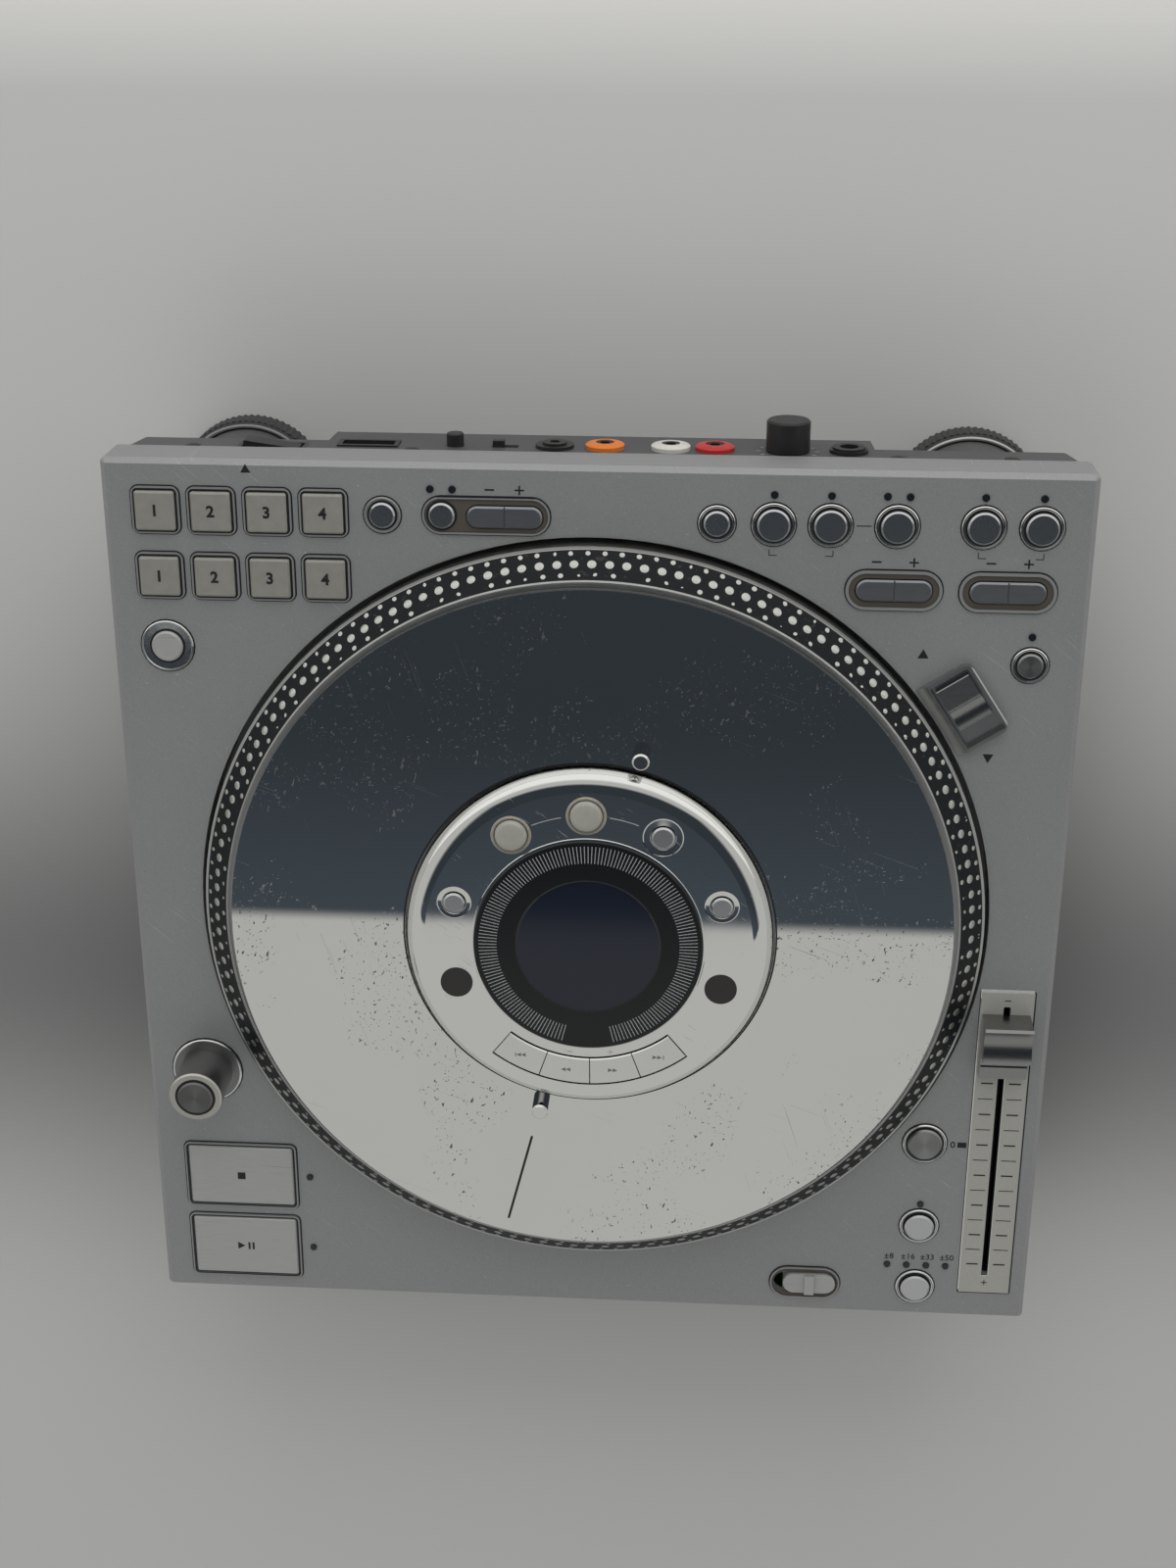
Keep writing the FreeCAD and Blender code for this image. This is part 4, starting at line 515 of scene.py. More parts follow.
def disc_finish():
    """Polished alloy with fine grooves round it, hairlines and many small dents from use."""
    finish = Finish("disc_finish", (0.80, 0.80, 0.78), metallic=1.0, roughness=0.01)
    groove_scale = 1500.0
    outward = finish.add("CombineXYZ", (finish.radius(),))
    bands = finish.noise(1.0, 4.0, finish.vector("MULTIPLY", outward, (groove_scale, 0.0, 0.0)))
    hairs = finish.most([
        finish.scratches(across=4200.0, along=18.0, angle=0.35, level=0.755, breadth=0.012, patches=30.0),
        finish.scratches(across=3800.0, along=24.0, angle=1.25, level=0.755, breadth=0.012, patches=22.0),
    ])
    used = finish.step(finish.noise(26.0), 0.535, 0.06)
    dents = []
    for angle, level, fine in ((0.2, 0.69, 0.55), (1.3, 0.70, 0.8), (-0.7, 0.71, 1.0)):
        scales = (1350.0 * fine, 620.0 * fine, 900.0)
        dents.append(finish.step(finish.noise(1.0, 2.0, finish.stretched(scales, angle)), level, 0.02))
    pits = finish.times(finish.most(dents), used)
    damage = finish.most([finish.times(hairs, 0.6), pits])
    smear = finish.noise(11.0, 4.0)
    rough = finish.plus(finish.spread(bands, 0.0, 0.02), finish.spread(smear, -0.005, 0.012))
    finish.put("Roughness", finish.plus(rough, finish.times(damage, 0.55)))
    finish.paint(smear, (0.77, 0.77, 0.75), (0.83, 0.83, 0.81))
    finish.cover(damage, (0.27, 0.277, 0.288))
    relief = finish.less(finish.times(bands, 0.1), damage)
    finish.bump(relief, strength=0.2, distance=0.012)
    return finish.material


def mirror_chrome():
    """The hub's mirror chrome, hazed and finely scratched."""
    finish = Finish("mirror_chrome", (0.83, 0.83, 0.82), metallic=1.0, roughness=0.05)
    haze = finish.noise(60.0, 4.0)
    marks = finish.scratches(across=3000.0, along=90.0, angle=0.6, level=0.72, patches=80.0)
    finish.put("Roughness", finish.plus(finish.spread(haze, 0.01, 0.05), finish.times(marks, 0.3)))
    return finish.material


def steel():
    return even_finish("plain_steel", (0.56, 0.56, 0.55), metallic=1.0, roughness=0.35, grain=700.0,
                       rough=(0.28, 0.45)).material


def display_finish():
    """Black bezel, dark blue window inside it and dull plugs outside it."""
    base_roughness = 0.16
    finish = Finish("display_finish", (0.012, 0.012, 0.014), roughness=base_roughness)
    window_radius = 25.0 * MM
    plug_reach = 43.0 * MM
    reach = finish.radius()
    window = finish.below(reach, window_radius, EDGE_WIDTH)
    plug = finish.step(reach, plug_reach, 1.0 * MM)
    dust = finish.specks(scale=1100.0, level=0.72, breadth=0.05)
    finish.paint(dust, (0.003, 0.004, 0.005), (0.02, 0.02, 0.02))
    finish.cover(window, (0.009, 0.013, 0.026))
    finish.cover(plug, (0.03, 0.028, 0.027))
    rough = finish.plus(finish.times(window, -0.1), base_roughness)
    finish.put("Roughness", finish.plus(rough, finish.times(plug, 0.2)))
    return finish.material


def board_finish():
    """Boards below the deck, the fader's track and the dark lamp lenses that come up through it."""
    finish = Finish("board_finish", (0.03, 0.11, 0.05), roughness=0.45)
    x, y, height = finish.parts(finish.place)
    lens_foot = DECK_TOP - 2.0 * MM
    track_edge = 142.5 * MM
    lens = finish.step(height, lens_foot, 0.2 * MM)
    track = finish.step(x, track_edge, EDGE_WIDTH)
    finish.paint(finish.noise(500.0), (0.02, 0.09, 0.035), (0.05, 0.15, 0.07))
    finish.cover(track, (0.008, 0.010, 0.014))
    finish.cover(lens, (0.012, 0.016, 0.02))
    finish.put("Roughness", finish.spread(lens, 0.5, 0.12))
    return finish.material


def base_plastic():
    """The dark grey grained plastic of the lower tray."""
    finish = even_finish("base_plastic", (0.075, 0.075, 0.078), grain=1800.0, detail=2.0,
                         rough=(0.42, 0.6), relief=(0.3, 0.05))
    finish.paint(finish.noise(30.0), (0.06, 0.06, 0.062), (0.095, 0.095, 0.098))
    return finish.material


def jack_plastic():
    return even_finish("jack_plastic", (0.02, 0.02, 0.02), roughness=0.4, grain=900.0,
                       rough=(0.3, 0.5)).material


def fader_metal():
    """Silver fader knob, finely brushed across its length."""
    return even_finish("fader_metal", (0.31, 0.31, 0.31), metallic=1.0, roughness=0.3,
                       grain=(120.0, 5200.0, 5200.0), rough=(0.2, 0.36), relief=(0.15, 0.02)).material


def black_knob():
    return even_finish("black_knob", (0.018, 0.018, 0.019), roughness=0.38, grain=700.0,
                       rough=(0.3, 0.5), relief=(0.2, 0.03)).material


def key_paint():
    """Pale grey key caps with faint scratches along them."""
    finish = even_finish("key_paint", (0.60, 0.60, 0.60), metallic=0.35, roughness=0.42,
                         grain=2600.0, detail=2.0, tones=((0.54, 0.54, 0.54), (0.63, 0.63, 0.63)),
                         relief=(0.2, 0.02))
    marks = finish.scratches(across=2600.0, along=40.0, angle=0.05, level=0.66)
    finish.cover(marks, (0.3, 0.3, 0.3))
    return finish.material


def key_metal():
    """Flat polished metal caps."""
    return even_finish("key_metal", (0.60, 0.61, 0.62), metallic=1.0, roughness=0.22, grain=3000.0,
                       detail=2.0, tones=((0.54, 0.55, 0.56), (0.66, 0.67, 0.68)),
                       rough=(0.17, 0.27)).material


def spun_metal(name, tone):
    """Turned metal caps whose fine rings throw a fan of light."""
    colour = (tone, tone, tone)
    finish = even_finish(name, colour, metallic=1.0, roughness=0.3, grain=3000.0, detail=2.0,
                         tones=(shade(colour, 0.8), shade(colour, 1.2)), rough=(0.24, 0.36))
    finish.put("Anisotropic", 0.7)
    return finish.material


def rocker_metal():
    """The dark satin of the two-way keys."""
    return even_finish("rocker_metal", (0.30, 0.31, 0.33), metallic=0.9, roughness=0.32,
                       grain=(150.0, 5000.0, 5000.0), tones=((0.26, 0.27, 0.29), (0.36, 0.37, 0.39)),
                       rough=(0.25, 0.4)).material


def pale_key():
    """Pale anodised faces of the two big keys and the slider, brushed along X."""
    finish = even_finish("pale_key", (0.46, 0.46, 0.455), metallic=0.35, roughness=0.42,
                         grain=(110.0, 4200.0, 4200.0),
                         tones=((0.38, 0.38, 0.375), (0.54, 0.54, 0.535)), rough=(0.36, 0.5),
                         relief=(0.15, 0.02))
    hairs = finish.scratches(across=3600.0, along=30.0, angle=0.03, level=0.70, patches=40.0)
    finish.cover(hairs, (0.30, 0.30, 0.30))
    return finish.material


def arc_chrome():
    """The four curved keys, a little duller than the hub round them."""
    return even_finish("arc_chrome", (0.80, 0.80, 0.79), metallic=1.0, roughness=0.1, grain=200.0,
                       tones=((0.76, 0.76, 0.75), (0.84, 0.84, 0.83)), rough=(0.07, 0.14)).material


def dot_metal():
    """Polished faces of the strobe dots."""
    return even_finish("dot_metal", (0.66, 0.655, 0.63), metallic=1.0, roughness=0.3, grain=900.0,
                       detail=2.0, tones=((0.58, 0.575, 0.55), (0.74, 0.735, 0.71)),
                       rough=(0.24, 0.36)).material


def beige_ring():
    """Yellowed satin rings round the loop buttons."""
    return even_finish("beige_ring", (0.46, 0.42, 0.35), metallic=0.5, roughness=0.4, grain=400.0,
                       tones=((0.38, 0.34, 0.28), (0.54, 0.50, 0.43))).material


def loop_dome():
    """The pale translucent caps of the two loop buttons."""
    finish = even_finish("loop_dome", (0.38, 0.376, 0.335), roughness=0.25, grain=300.0,
                         tones=((0.33, 0.326, 0.29), (0.43, 0.426, 0.385)), rough=(0.18, 0.32))
    finish.put("Coat Weight", 0.5)
    finish.put("Coat Roughness", 0.1)
    return finish.material


def pad_rubber():
    """Translucent warm-white pads, a little greyed by touch."""
    finish = even_finish("pad_rubber", (0.28, 0.275, 0.25), roughness=0.4, grain=260.0,
                         tones=((0.245, 0.238, 0.212), (0.32, 0.314, 0.288)))
    finish.put("Subsurface Weight", 0.25)
    finish.put("Subsurface Radius", (0.004, 0.0035, 0.0025))
    finish.put("Subsurface Scale", 0.5)
    finish.put("Coat Weight", 0.25)
    finish.put("Coat Roughness", 0.3)
    return finish.material


def foot_rubber():
    return even_finish("foot_rubber", (0.03, 0.03, 0.031), roughness=0.55, grain=1200.0,
                       tones=((0.022, 0.022, 0.023), (0.055, 0.055, 0.055)), relief=(0.4, 0.05)).material


def ink(name, colour, roughness=0.5):
    """Printed paint or coloured plastic with a slightly uneven tone."""
    return even_finish(name, colour, roughness=roughness, grain=3000.0,
                       tones=(shade(colour, 0.8), shade(colour, 1.2))).material


def plate_finish():
    """The pale printed strip under the fader."""
    return even_finish("plate_finish", (0.46, 0.455, 0.42), metallic=0.2, grain=1500.0,
                       tones=((0.41, 0.405, 0.375), (0.50, 0.492, 0.458))).material


materials = {
    "deck_metal": deck_paint(),
    "trim_chrome": chrome_trim(),
    "platter_black": platter_finish(),
    "felt": felt(),
    "disc_metal": disc_finish(),
    "steel": steel(),
    "hub_chrome": mirror_chrome(),
    "display_black": display_finish(),
    "board_green": board_finish(),
    "base_grey": base_plastic(),
    "jack_black": jack_plastic(),
    "fader_silver": fader_metal(),
    "knob_black": black_knob(),
    "key_grey": key_paint(),
    "key_metal": key_metal(),
    "pad_white": pad_rubber(),
    "foot_rubber": foot_rubber(),
}
dome_material = loop_dome()
# Nodes with a finish of their own, whatever their slot says
special = {}
for special_material, special_names in (
    (arc_chrome(), ARC_KEYS),
    (rocker_metal(), (*SHORT_ROCKERS, "trim_rocker")),
    (pale_key(), (*LARGE_KEYS, "mode_slider", "record_button")),
    (spun_metal("spun_metal", 0.33), ("reset_button", "instant_button")),
    (spun_metal("dark_spun_metal", 0.19), ("free_wheel_button",)),
    (dome_material, LOOP_BUTTONS),
):
    special.update(dict.fromkeys(special_names, special_material))
dark_ink = ink("dark_ink", (0.012, 0.012, 0.014))
pale_ink = ink("pale_ink", (0.40, 0.41, 0.42))
grey_ink = ink("grey_ink", (0.16, 0.16, 0.16))


def dress_frame():
    """Gives every node of the frame its finish by its material slot."""
    for name, node in nodes.items():
        for slot in node.material_slots:
            wanted = slot.material.name.split(".")[0] if slot.material else ""
            for key, material in materials.items():
                if wanted.endswith(key):
                    slot.material = special.get(name, material)


# Pieces on the platter and the disc

def add_dot(work, place, radius, sides=12):
    """A flat dot with a bevelled edge, its skirt sunk in what carries it."""
    rings = []
    for reach, height in ((1.0, -0.15), (1.0, 0.03), (0.84, 0.07)):
        ring = []
        for index in range(sides):
            x, y = polar(reach * radius, 2 * math.pi * index / sides)
            ring.append(work.verts.new(place @ Vector((x, y, height * radius))))
        rings.append(ring)
    top = work.verts.new(place @ Vector((0, 0, 0.08 * radius)))
    for lower, upper in zip(rings, rings[1:]):
        join_rings(work, lower, upper)
    for here, after in ring_pairs(rings[-1]):
        work.faces.new((here, after, top))
    work.faces.new(list(reversed(rings[0])))


def make_strobe_dots():
    """Three rows of small polished dots on the platter's sloping black band."""
    work = bmesh.new()
    inner = Vector((DISC_RADIUS + 2.4 * MM, RIM_TOP - 0.4 * MM))
    outer = Vector((PLATTER_RADIUS - 0.5 * MM, RIM_TOP - 9.0 * MM))
    slope = outer - inner
    tilt = Matrix.Rotation(math.atan2(-slope.y, slope.x), 4, "Y")
    to_axis = Matrix.Translation((AXIS.x, AXIS.y, 0))
    # Each row's share of the way across the band, its number of dots and their radius
    for share, count, dot_radius in ((0.17, 141, 1.0), (0.5, 144, 1.55), (0.83, 151, 1.0)):
        centre = inner.lerp(outer, share)
        on_band = Matrix.Translation((centre.x, 0, centre.y)) @ tilt
        for index in range(count):
            turn = Matrix.Rotation(2 * math.pi * index / count, 4, "Z")
            add_dot(work, to_axis @ turn @ on_band, dot_radius * MM)
    from_bmesh("strobe_dots", work, dot_metal(), "platter", 20)


def make_disc_marker():
    """The dark line that shows how far the disc has turned, and the dark line round its bore: the gap
    there and painted shadow under the hub's edge.
    """
    direction = -104.2
    start, end = 85.0, 122.0
    bore_radius = 65.75
    work = bmesh.new()
    add_ray(work, direction, start, end, 0.9, print_levels(DISC_TOP, 0.04))
    dark_print("disc_marker", work, "disc")
    # Round the bore: partly the gap between disc and hub, partly painted shadow under the hub's edge.
    gap = bmesh.new()
    add_arc(gap, bore_radius, 0.6, print_levels(DISC_TOP))
    dark_print("disc_bore_shadow_line", gap, "disc")


# Pieces on the hub

HUB_PRINT_RISE = 0.04


def make_hub_marks():
    """The scale round the display, and the lines and signs on the hub's face."""
    ticks = 180
    start, end = 32.0, 38.4
    gap_start, gap_end = 257, 283
    work = bmesh.new()
    levels = print_levels(BEZEL_TOP, HUB_PRINT_RISE)
    for index in range(ticks):
        degrees = 360.0 * index / ticks
        if not gap_start < degrees < gap_end:
            add_ray(work, degrees, start, end, 0.26, levels)
    pale_print("display_scale", work)

    arc_radius = 49.2
    face = bmesh.new()
    levels = print_levels(HUB_FACE, HUB_PRINT_RISE)
    for start, end in ((101.0, 113.5), (69.5, 81.5)):
        add_arc(face, arc_radius, 0.3, levels, start, end, steps=24)
    for point, plus in (((-6.5, -42.5), False), ((8.0, -42.2), True)):
        add_sign(face, around(AXIS, [point])[0], 2.0, 0.3, plus, levels)
    pale_print("hub_lines", face)


def make_bezel_line():
    """The thin bright ring round the display."""
    profile = [(40.3, 0.0), (41.0, 0.0), (41.0, 0.35), (40.8, 0.55), (40.3, 0.55)]
    lathe("display_ring_line", profile, (AXIS.x, AXIS.y, HUB_FACE), materials["hub_chrome"],
          "root", 128)


def make_hub_rings():
    """Turned rings round the hub's buttons."""
    beige = beige_ring()
    chrome = materials["hub_chrome"]
    for name, outer, inner, metal in (
        ("out_button", 7.0, 5.9, beige),
        ("in_button", 7.0, 5.9, beige),
        ("reloop_button", 7.05, 4.3, chrome),
        ("hub_left_button", 6.05, 4.1, chrome),
        ("hub_right_button", 6.05, 4.1, chrome),
    ):
        place = middle(name)
        profile = [(inner, 0.0), (outer, 0.0), (outer, 0.25), (outer - 0.35, 0.5),
                   (inner + 0.3, 0.45), (inner, 0.2)]
        lathe(name + "_ring", profile, (place.x, place.y, HUB_FACE - 0.01 * MM), metal,
              "root")


def make_loop_caps():
    """Pale domes on the two loop buttons."""
    profile = [(0.0, -0.6), (5.45, -0.6), (5.5, 0.1), (5.2, 0.6), (4.2, 1.0), (2.4, 1.25), (0.0, 1.3)]
    sink = 0.25 * MM
    for name in LOOP_BUTTONS:
        place = middle(name)
        lathe(name + "_cap", profile, (place.x, place.y, place.z - sink), dome_material,
              name, 48, sharp=50)


def arc_key_place(index):
    """The middle of a curved key's face, counted from the left."""
    first_edge = -128.0
    width = 19.4
    radius = 50.1
    angle = math.radians(first_edge + width * (index + 0.5))
    return around(AXIS, [polar(radius, angle)])[0]


def make_transport_signs():
    """Plain double arrows on the four curved keys, with a bar on the outer two."""
    half = 0.75
    reach = 0.85
    for index, name in enumerate(ARC_KEYS):
        place = arc_key_place(index)
        way = -1 if index < 2 else 1
        levels = print_levels(middle(name).z, HUB_PRINT_RISE)
        work = bmesh.new()
        for shift in (-1.0, 0.7):
            tail, tip = [shift + side * way * reach for side in (-1, 1)]
            add_slab(work, around(place, [(tail, -half), (tip, 0), (tail, half)]), levels)
        if index in (0, 3):
            add_bar(work, place, (way * 2.1, -half), (way * 2.1, half), 0.35, levels)
        from_bmesh(name + "_sign", work, grey_ink, name)


# Printed marks on the deck

def make_deck_marks():
    """Signs, lines and arrows beside the keys, and the numbers beside the fader."""
    work = bmesh.new()
    levels = print_levels(DECK_TOP)
    for name, reach, above in (("bank_rocker", 6.2, 9.7), ("type_rocker", 6.2, 9.9),
                               ("trim_rocker", 5.0, 9.2)):
        for side in (-1, 1):
            place = around(middle(name), [(side * reach, above)])[0]
            add_sign(work, place, 3.2, 0.6, side > 0, levels)

    save = middle("save_button")
    between = ((save.x + middle("panel_button").x) / 2, save.y)
    add_bar(work, between, (-2.5, 0), (2.5, 0), 0.35, levels)

    # The brackets in front of two pairs of keys
    start, end = -1.2, 1.4
    rear, front = -8.6, -10.6
    for pair in (("load_button", "save_button"), ("effect_1_button", "effect_2_button")):
        for name, way in zip(pair, (1, -1)):
            corner = (start * way, front)
            add_bar(work, middle(name), (start * way, rear), corner, 0.3, levels)
            add_bar(work, middle(name), corner, (end * way, front), 0.3, levels)

    # The arrows' places, sizes and directions
    for across, along, size, angle in ((-116.4, 162.0, 2.0, 90), (111.8, 102.2, 2.2, 90),
                                       (136.1, 65.8, 2.2, -90)):
        corners = [polar(size, math.radians(angle + turn)) for turn in (0, 120, 240)]
        add_slab(work, around(on_deck(across, along), corners), levels)

    add_bar(work, on_deck(137.8, -89.0), (-1.65, 0), (1.65, 0), 2.3, levels)
    dark_print("deck_marks", work)

    for text, across in (("8", 113.6), ("16", 120.8), ("33", 128.1), ("50", 135.4)):
        numeral("range_" + text, "\u00b1" + text, 3.4, on_deck(across, -138.9), bold=0.03)
    numeral("zero_mark", "0", 3.8, on_deck(134.4, -89.1))


def rounded_outline(centre, half_x, half_y, radius, steps=6):
    """The corners of a rectangle with round corners, going round anticlockwise."""
    outline = []
    for quarter, (side_x, side_y) in enumerate(((1, 1), (-1, 1), (-1, -1), (1, -1))):
        for index in range(steps + 1):
            x, y = polar(radius, math.radians(90 * (quarter + index / steps)))
            outline.append((side_x * (half_x - radius) + x, side_y * (half_y - radius) + y))
    return around(centre, outline)


def make_joint_lines():
    """The thin dark gaps where rings, frames and plates meet the deck, and caps their frames."""
    work = bmesh.new()
    deck = print_levels(DECK_TOP)
    frame_top = DECK_TOP + 0.8 * MM
    frames = print_levels(frame_top)
    gap = 0.5

    def joint(place, half_x, half_y, radius, shift_x=0.0, levels=deck):
        """One thin dark outline."""
        centre = around(place, [(shift_x, 0)])[0]
        inner = rounded_outline(centre, half_x, half_y, radius)
        outer = rounded_outline(centre, half_x + gap, half_y + gap, radius + gap)
        add_band(work, list(zip(inner, outer)), levels, closed=True)

    # The outer radius of the rings round each group of keys
    for radius, names in (
        (6.2, SMALL_CAPS),
        (7.3, ROUND_CAPS),
        (8.1, ("reset_button",)),
        (9.1, ("record_button",)),
        (13.0, ("free_wheel_button",)),
    ):
        for name in names:
            joint(middle(name), radius, radius, radius)
    for name in PADS:
        joint(middle(name), 8.15, 8.15, 2.7)
        joint(middle(name), 7.05, 7.05, 1.2, levels=frames)
    for name in SHORT_ROCKERS:
        joint(middle(name), 16.1, 6.85, 6.7)
    joint((middle("trim_rocker").x, middle("edit_button").y), 21.4, 6.35, 6.2, -6.2)
    joint(middle("mode_slider"), 13.25, 6.85, 6.7, -1.65)
    for name in LARGE_KEYS:
        joint(middle(name), 21.35, 14.0, 2.35)
        joint(middle(name), 20.3, 12.95, 1.3, levels=frames)
    joint(on_deck(150.15, -89.15), 9.55, 64.45, 0.3)
    dark_print("joint_lines", work)


def make_cap_gaps():
    """The black gap between each round cap and its ring, and on the post's crown."""
    work = bmesh.new()
    clear = 0.06
    # The radius of each group's caps
    for radius, names in (
        (4.4, (*SMALL_CAPS, "edit_button")),
        (5.5, ROUND_CAPS),
        (6.35, ("reset_button",)),
        (5.4, ("record_button",)),
    ):
        inner = radius + clear
        outer = radius + 0.75
        profile = [(inner, 0.1), (outer, 0.1), (outer, 0.5), (inner, 0.42)]
        for name in names:
            place = middle(name)
            add_lathe(work, profile, (place.x, place.y, DECK_TOP))
    post = middle("free_wheel_button")
    inner = POST_CAP_RADIUS + clear
    outer = POST_CAP_RADIUS + 0.95
    add_lathe(work, [(inner, 0.0), (outer, 0.0), (outer, 0.06), (inner, 0.06)],
              (post.x, post.y, POST_TOP - PRINT_SINK))
    dark_print("cap_gaps", work)


def make_pad_numbers():
    """The numbers 1 to 4 on each row of pads."""
    for index, name in enumerate(PADS):
        numeral(name + "_number", str(index % 4 + 1), 5.4, middle(name), name, bold=0.18)


def make_key_signs():
    """A plain square on the cue key and an arrow with two bars on the play key."""
    cue = middle("cue_key")
    work = bmesh.new()
    half = 1.5
    square = [(-half, -half), (half, -half), (half, half), (-half, half)]
    add_slab(work, around(cue, square), print_levels(cue.z))
    dark_print("cue_key_sign", work, "cue_key")
    play = middle("play_key")
    work = bmesh.new()
    half = 1.6
    levels = print_levels(play.z)
    add_slab(work, around(play, [(-3.2, -half), (-0.4, 0), (-3.2, half)]), levels)
    for shift in (1.2, 2.8):
        add_bar(work, play, (shift, -half), (shift, half), 0.8, levels)
    dark_print("play_key_sign", work, "play_key")


def make_fader_scale():
    """Ticks beside the fader's slot, long and thin or short and thick in turn."""
    ticks = 17
    rear_tick = -36.0
    spacing = 6.545
    long_thin = (2.5, 8.0, 0.36)
    short_thick = (2.9, 7.2, 0.6)
    levels = print_levels(PLATE_TOP)
    work = bmesh.new()
    for index in range(ticks):
        place = on_deck(FADER_ACROSS, rear_tick - spacing * index)
        start, reach, width = long_thin if index % 2 else short_thick
        for side in (-1, 1):
            add_bar(work, place, (side * start, 0), (side * reach, 0), width, levels)
    add_sign(work, on_deck(FADER_ACROSS, -28.0), 2.2, 0.4, False, levels)
    add_sign(work, on_deck(FADER_ACROSS, -149.0), 2.2, 0.4, True, levels)
    dark_print("fader_scale", work)


def make_fader_plate():
    """The pale face of the plate, open along the slot, whose ends are round."""
    plate = bmesh.new()
    left, right = 140.7, 159.6
    front, rear = -153.5, -24.8
    slot_front, slot_rear = -145.6, -30.9
    slot = 1.3
    flatness = 0.35
    levels = (DECK_TOP + 0.3 * MM, PLATE_TOP + 0.005 * MM)

    def strip(corners):
        add_slab(plate, around(on_deck(0, 0), corners), levels)

    for near, far in ((left, FADER_ACROSS - slot), (FADER_ACROSS + slot, right)):
        strip([(near, slot_front), (far, slot_front), (far, slot_rear), (near, slot_rear)])
    turned = [polar(slot, math.radians(15 * index)) for index in range(13)]
    arc = [(x, flatness * y) for x, y in reversed(turned)]
    for way, slot_end, end, first, last in ((1, slot_rear, rear, left, right),
                                            (-1, slot_front, front, right, left)):
        rounded = [(FADER_ACROSS + way * x, slot_end + way * y) for x, y in arc]
        strip([(first, slot_end)] + rounded + [(last, slot_end), (last, end), (first, end)])
    from_bmesh("fader_plate_face", plate, plate_finish(), "root")


def make_fader_index():
    """The dark line across the fader's knob."""
    half = 8.4
    along = -6.6
    levels = (DECK_TOP + 4.0 * MM, DECK_TOP + 5.4 * MM)
    work = bmesh.new()
    add_bar(work, middle("pitch_fader"), (-half, along), (half, along), 0.5, levels)
    dark_print("fader_index", work, "pitch_fader")


# Rear panel and feet

def make_phono_rings():
    """A coloured ring on each phono socket."""
    profile = [(3.2, 1.0), (6.75, -0.1), (6.75, 1.3), (6.3, 1.7), (4.3, 2.2), (3.2, 2.2)]
    for name, across, colour in (
        ("red", 39.7, (0.5, 0.03, 0.03)),
        ("white", 24.6, (0.65, 0.64, 0.6)),
        ("orange", 2.0, (0.75, 0.2, 0.03)),
    ):
        plastic = ink(name + "_plastic", colour, 0.35)
        lathe(name + "_phono_ring", profile, (across * MM, REAR_FACE, JACK_LEVEL), plastic,
              "root", 48, axis="Y")


def make_volume_scale():
    """Short lines round the volume knob, drawn flat and then stood on the rear face."""
    ticks = 11
    first, spacing = 240, 30
    inner, outer = 9.3, 10.8
    work = bmesh.new()
    for index in range(ticks):
        angle = math.radians(first - spacing * index)
        add_bar(work, (0, 0), polar(inner, angle), polar(outer, angle), 0.4, print_levels(0, 0.05))
    knob = middle("volume_knob")
    on_rear = Matrix(((1, 0, 0, knob.x), (0, 0, 1, REAR_FACE), (0, 1, 0, JACK_LEVEL), (0, 0, 0, 1)))
    bmesh.ops.transform(work, matrix=on_rear, verts=work.verts)
    pale_print("volume_scale", work)


def make_rear_screws():
    profile = [(0.0, 0.6), (1.3, 0.6), (2.6, 0.2), (2.8, -0.2), (0.0, -0.2)]
    places = ((-64.0, -25.3), (102.0, -25.3), (-140.0, -26.0), (140.0, -26.0))
    for index, (across, height) in enumerate(places):
        place = (across * MM, REAR_FACE, DECK_TOP + height * MM)
        lathe(f"rear_screw_{index + 1}", profile, place, materials["knob_black"],
              "root", 32, axis="Y")


def make_foot_sleeves():
    """A fluted sleeve and a bright edge ring on each foot."""
    flutes = 72
    steps = 4 * flutes
    crest, valley = 0.55, 0.15
    levels = (1.4 * MM, 11.4 * MM)
    edge_height = 12.45 * MM
    for name in FEET:
        centre = middle(name)
        outer = half_width(name) / MM
        work = bmesh.new()
        points = []
        for index in range(steps):
            angle = 2 * math.pi * index / steps
            relief = crest if index % 4 in (0, 1) else valley
            points.append(around(centre, [polar(outer - 0.5, angle), polar(outer + relief, angle)]))
        add_band(work, points, levels, closed=True)
        from_bmesh(name + "_grip", work, materials["foot_rubber"], name, 20)
        profile = [(outer - 1.9, 0.0), (outer - 0.6, 0.0), (outer - 0.6, 0.3), (outer - 1.2, 0.6),
                   (outer - 1.9, 0.3)]
        lathe(name + "_edge", profile, (centre.x, centre.y, edge_height), materials["trim_chrome"],
              name, 96)


# Stage, light and camera

def make_stage():
    """A pale floor with a painted shadow in a band under the object, and painted light that makes it
    lightest behind it.
    """
    mesh = bpy.data.meshes.new("floor")
    reach = 4.0
    mesh.from_pydata([(-reach, -reach, 0), (reach, -reach, 0), (reach, reach, 0),
                      (-reach, reach, 0)], [], [(0, 1, 2, 3)])
    floor = bpy.data.objects.new("floor", mesh)
    bpy.context.scene.collection.objects.link(floor)
    finish = Finish("floor_paper", (0.46, 0.46, 0.455), roughness=0.7)
    shadow_middle, shadow_reach = -0.075, 0.10
    lit_backdrop_start = 0.285
    along = finish.parts(finish.place)[1]
    away = finish.math("DIVIDE", finish.less(along, shadow_middle), shadow_reach)
    shadow_bell = finish.math("POWER", math.e, finish.times(finish.times(away, away), -1.0))
    # Painted shadow: the floor is darkened in a soft band across it under the object.
    finish.paint(shadow_bell, (0.66, 0.66, 0.65), (0.26, 0.26, 0.26))
    # Painted light: the floor and backdrop behind the object are brightened where the light from behind
    # falls.
    finish.cover(finish.step(along, lit_backdrop_start, 0.03), (0.85, 0.84, 0.82))
    finish.put("Specular IOR Level", 0.2)
    mesh.materials.append(finish.material)


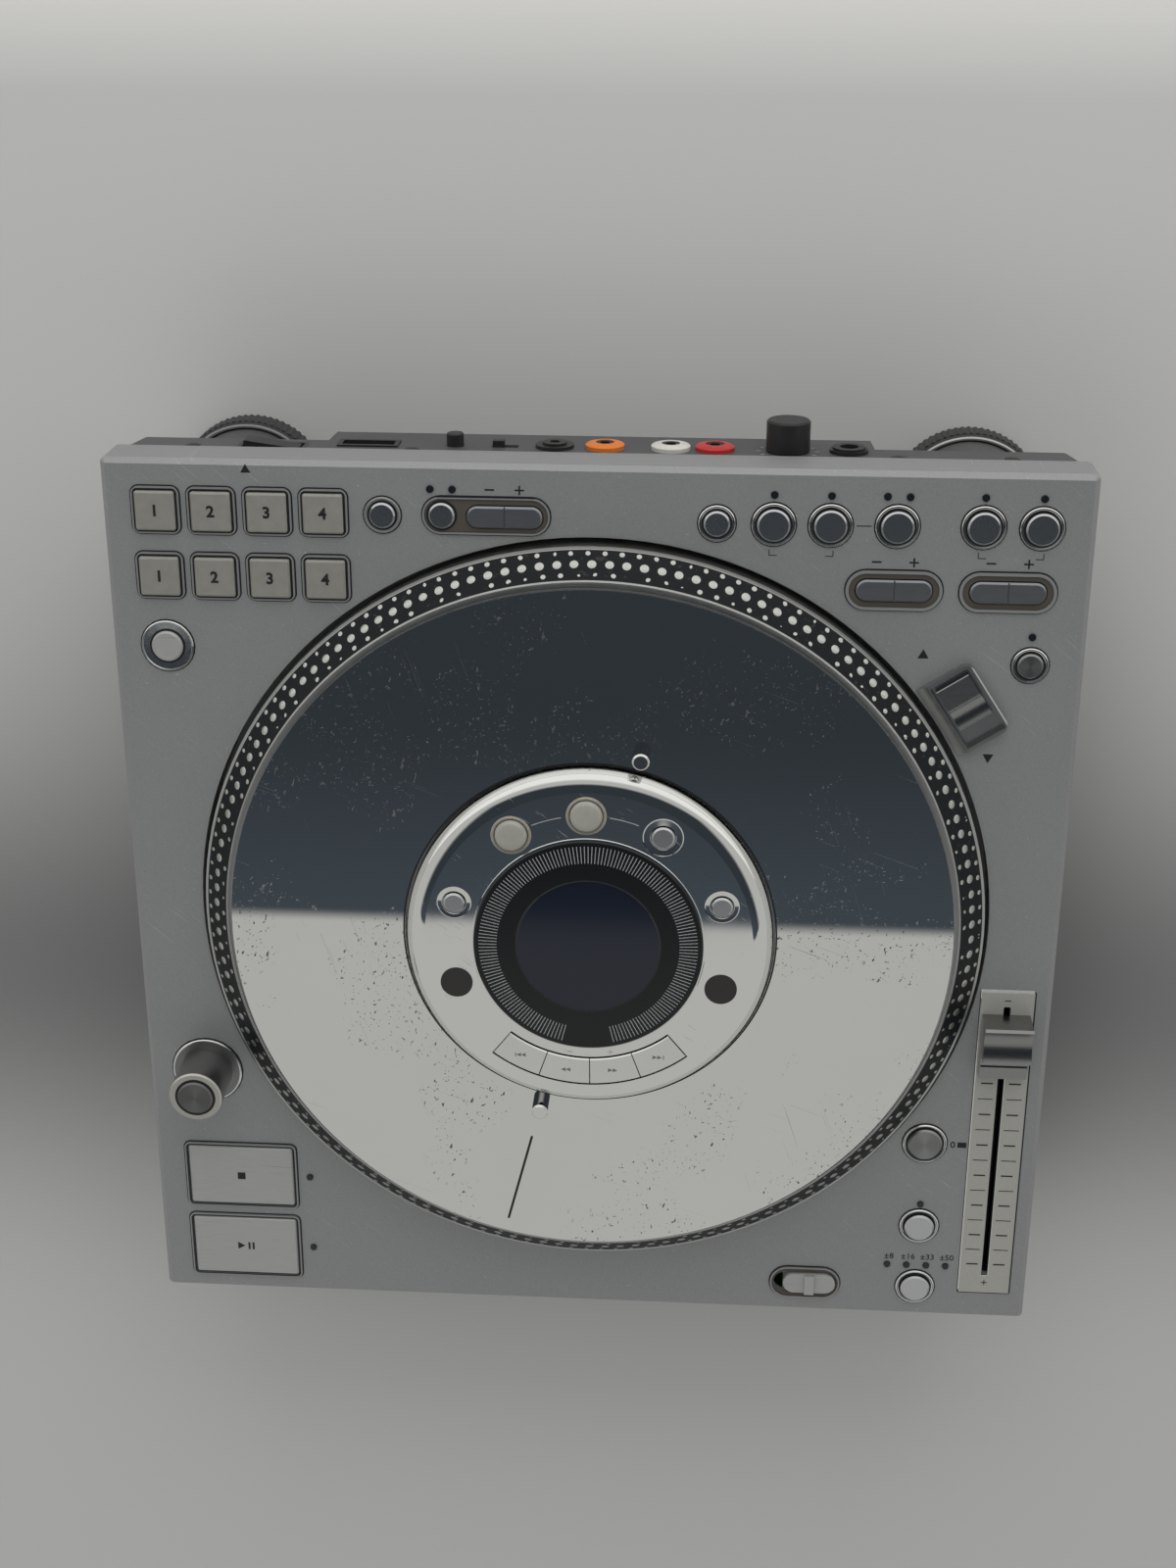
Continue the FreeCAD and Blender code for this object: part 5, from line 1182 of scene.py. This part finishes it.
def make_world():
    """A bright tent with a dark opening overhead, and plain grey where the camera sees it."""
    world = bpy.data.worlds.new("tent")
    bpy.context.scene.world = world
    world.use_nodes = True
    sky = Nodes(world.node_tree, "SMOOTHSTEP")
    x, y, z = sky.parts(sky.add("TexCoord", output="Generated"))
    # How far a direction leans to the front or sideways for each metre up
    up = sky.math("MAXIMUM", z, 0.02)
    toward_front = sky.math("DIVIDE", sky.times(y, -1.0), up)
    sideways = sky.math("ABSOLUTE", sky.math("DIVIDE", x, up))
    bright = sky.most([sky.step(toward_front, 0.49, 0.008), sky.below(toward_front, -0.55, 0.3),
                       sky.step(sideways, 0.9, 0.5)])
    opening = sky.mix(sky.step(toward_front, 0.43, 0.12), (0.032, 0.039, 0.047), (0.052, 0.065, 0.080))
    tent = sky.mix(bright, opening, (0.49, 0.49, 0.475))
    tent = sky.mix(sky.below(toward_front, -1.4, 0.8), tent, (0.9, 0.9, 0.88))
    shown = sky.mix(sky.add("LightPath", output="Is Camera Ray"), tent, (0.5, 0.5, 0.5))
    background = sky.tree.nodes["Background"]
    sky.join(shown, background.inputs["Color"])
    sky.join(1.0, background.inputs["Strength"])


def make_lamp(name, place, target, size, power):
    """A square lamp that looks at a target and isn't seen in reflections."""
    lamp = bpy.data.lights.new(name, "AREA")
    lamp.size = size
    lamp.energy = power
    holder = bpy.data.objects.new(name, lamp)
    bpy.context.scene.collection.objects.link(holder)
    holder.location = place
    holder.rotation_euler = (Vector(target) - Vector(place)).to_track_quat("-Z", "Y").to_euler()
    holder.visible_glossy = False


def make_camera():
    """The photograph's place and angle, found from the deck's corners and the platter's edge."""
    focal_pixels = 2202.53
    picture_height = 1600
    sensor = 36.0
    place = Vector((0.04187, 0.33478, 0.78334))
    right = Vector((0.997994, 0.002560, -0.063254))
    up = Vector((-0.026452, 0.924634, -0.379935))
    camera = bpy.data.cameras.new("photo_camera")
    camera.sensor_width = sensor
    camera.lens = focal_pixels / picture_height * sensor
    camera.clip_start = 0.01
    camera.clip_end = 50.0
    holder = bpy.data.objects.new("photo_camera", camera)
    bpy.context.scene.collection.objects.link(holder)
    turn = Matrix((right, up, right.cross(up))).transposed()
    holder.matrix_world = Matrix.Translation(place) @ turn.to_4x4()
    bpy.context.scene.camera = holder


bpy.context.scene.view_settings.view_transform = "Standard"
dress_frame()
make_strobe_dots()
make_disc_marker()
make_hub_marks()
make_bezel_line()
make_hub_rings()
make_loop_caps()
make_transport_signs()
make_deck_marks()
make_joint_lines()
make_cap_gaps()
make_pad_numbers()
make_key_signs()
make_fader_scale()
make_fader_plate()
make_fader_index()
make_phono_rings()
make_volume_scale()
make_rear_screws()
make_foot_sleeves()
make_stage()
make_world()
make_lamp("key_lamp", (-0.5, -0.4, 1.5), (0, 0, 0.05), 1.2, 3.2)
make_lamp("fill_lamp", (0.8, 0.6, 1.2), (0, 0, 0.05), 1.0, 0.6)
make_lamp("rear_lamp", (0.1, 1.15, 0.6), (0, 0.1, 0.05), 0.9, 6.0)
make_camera()
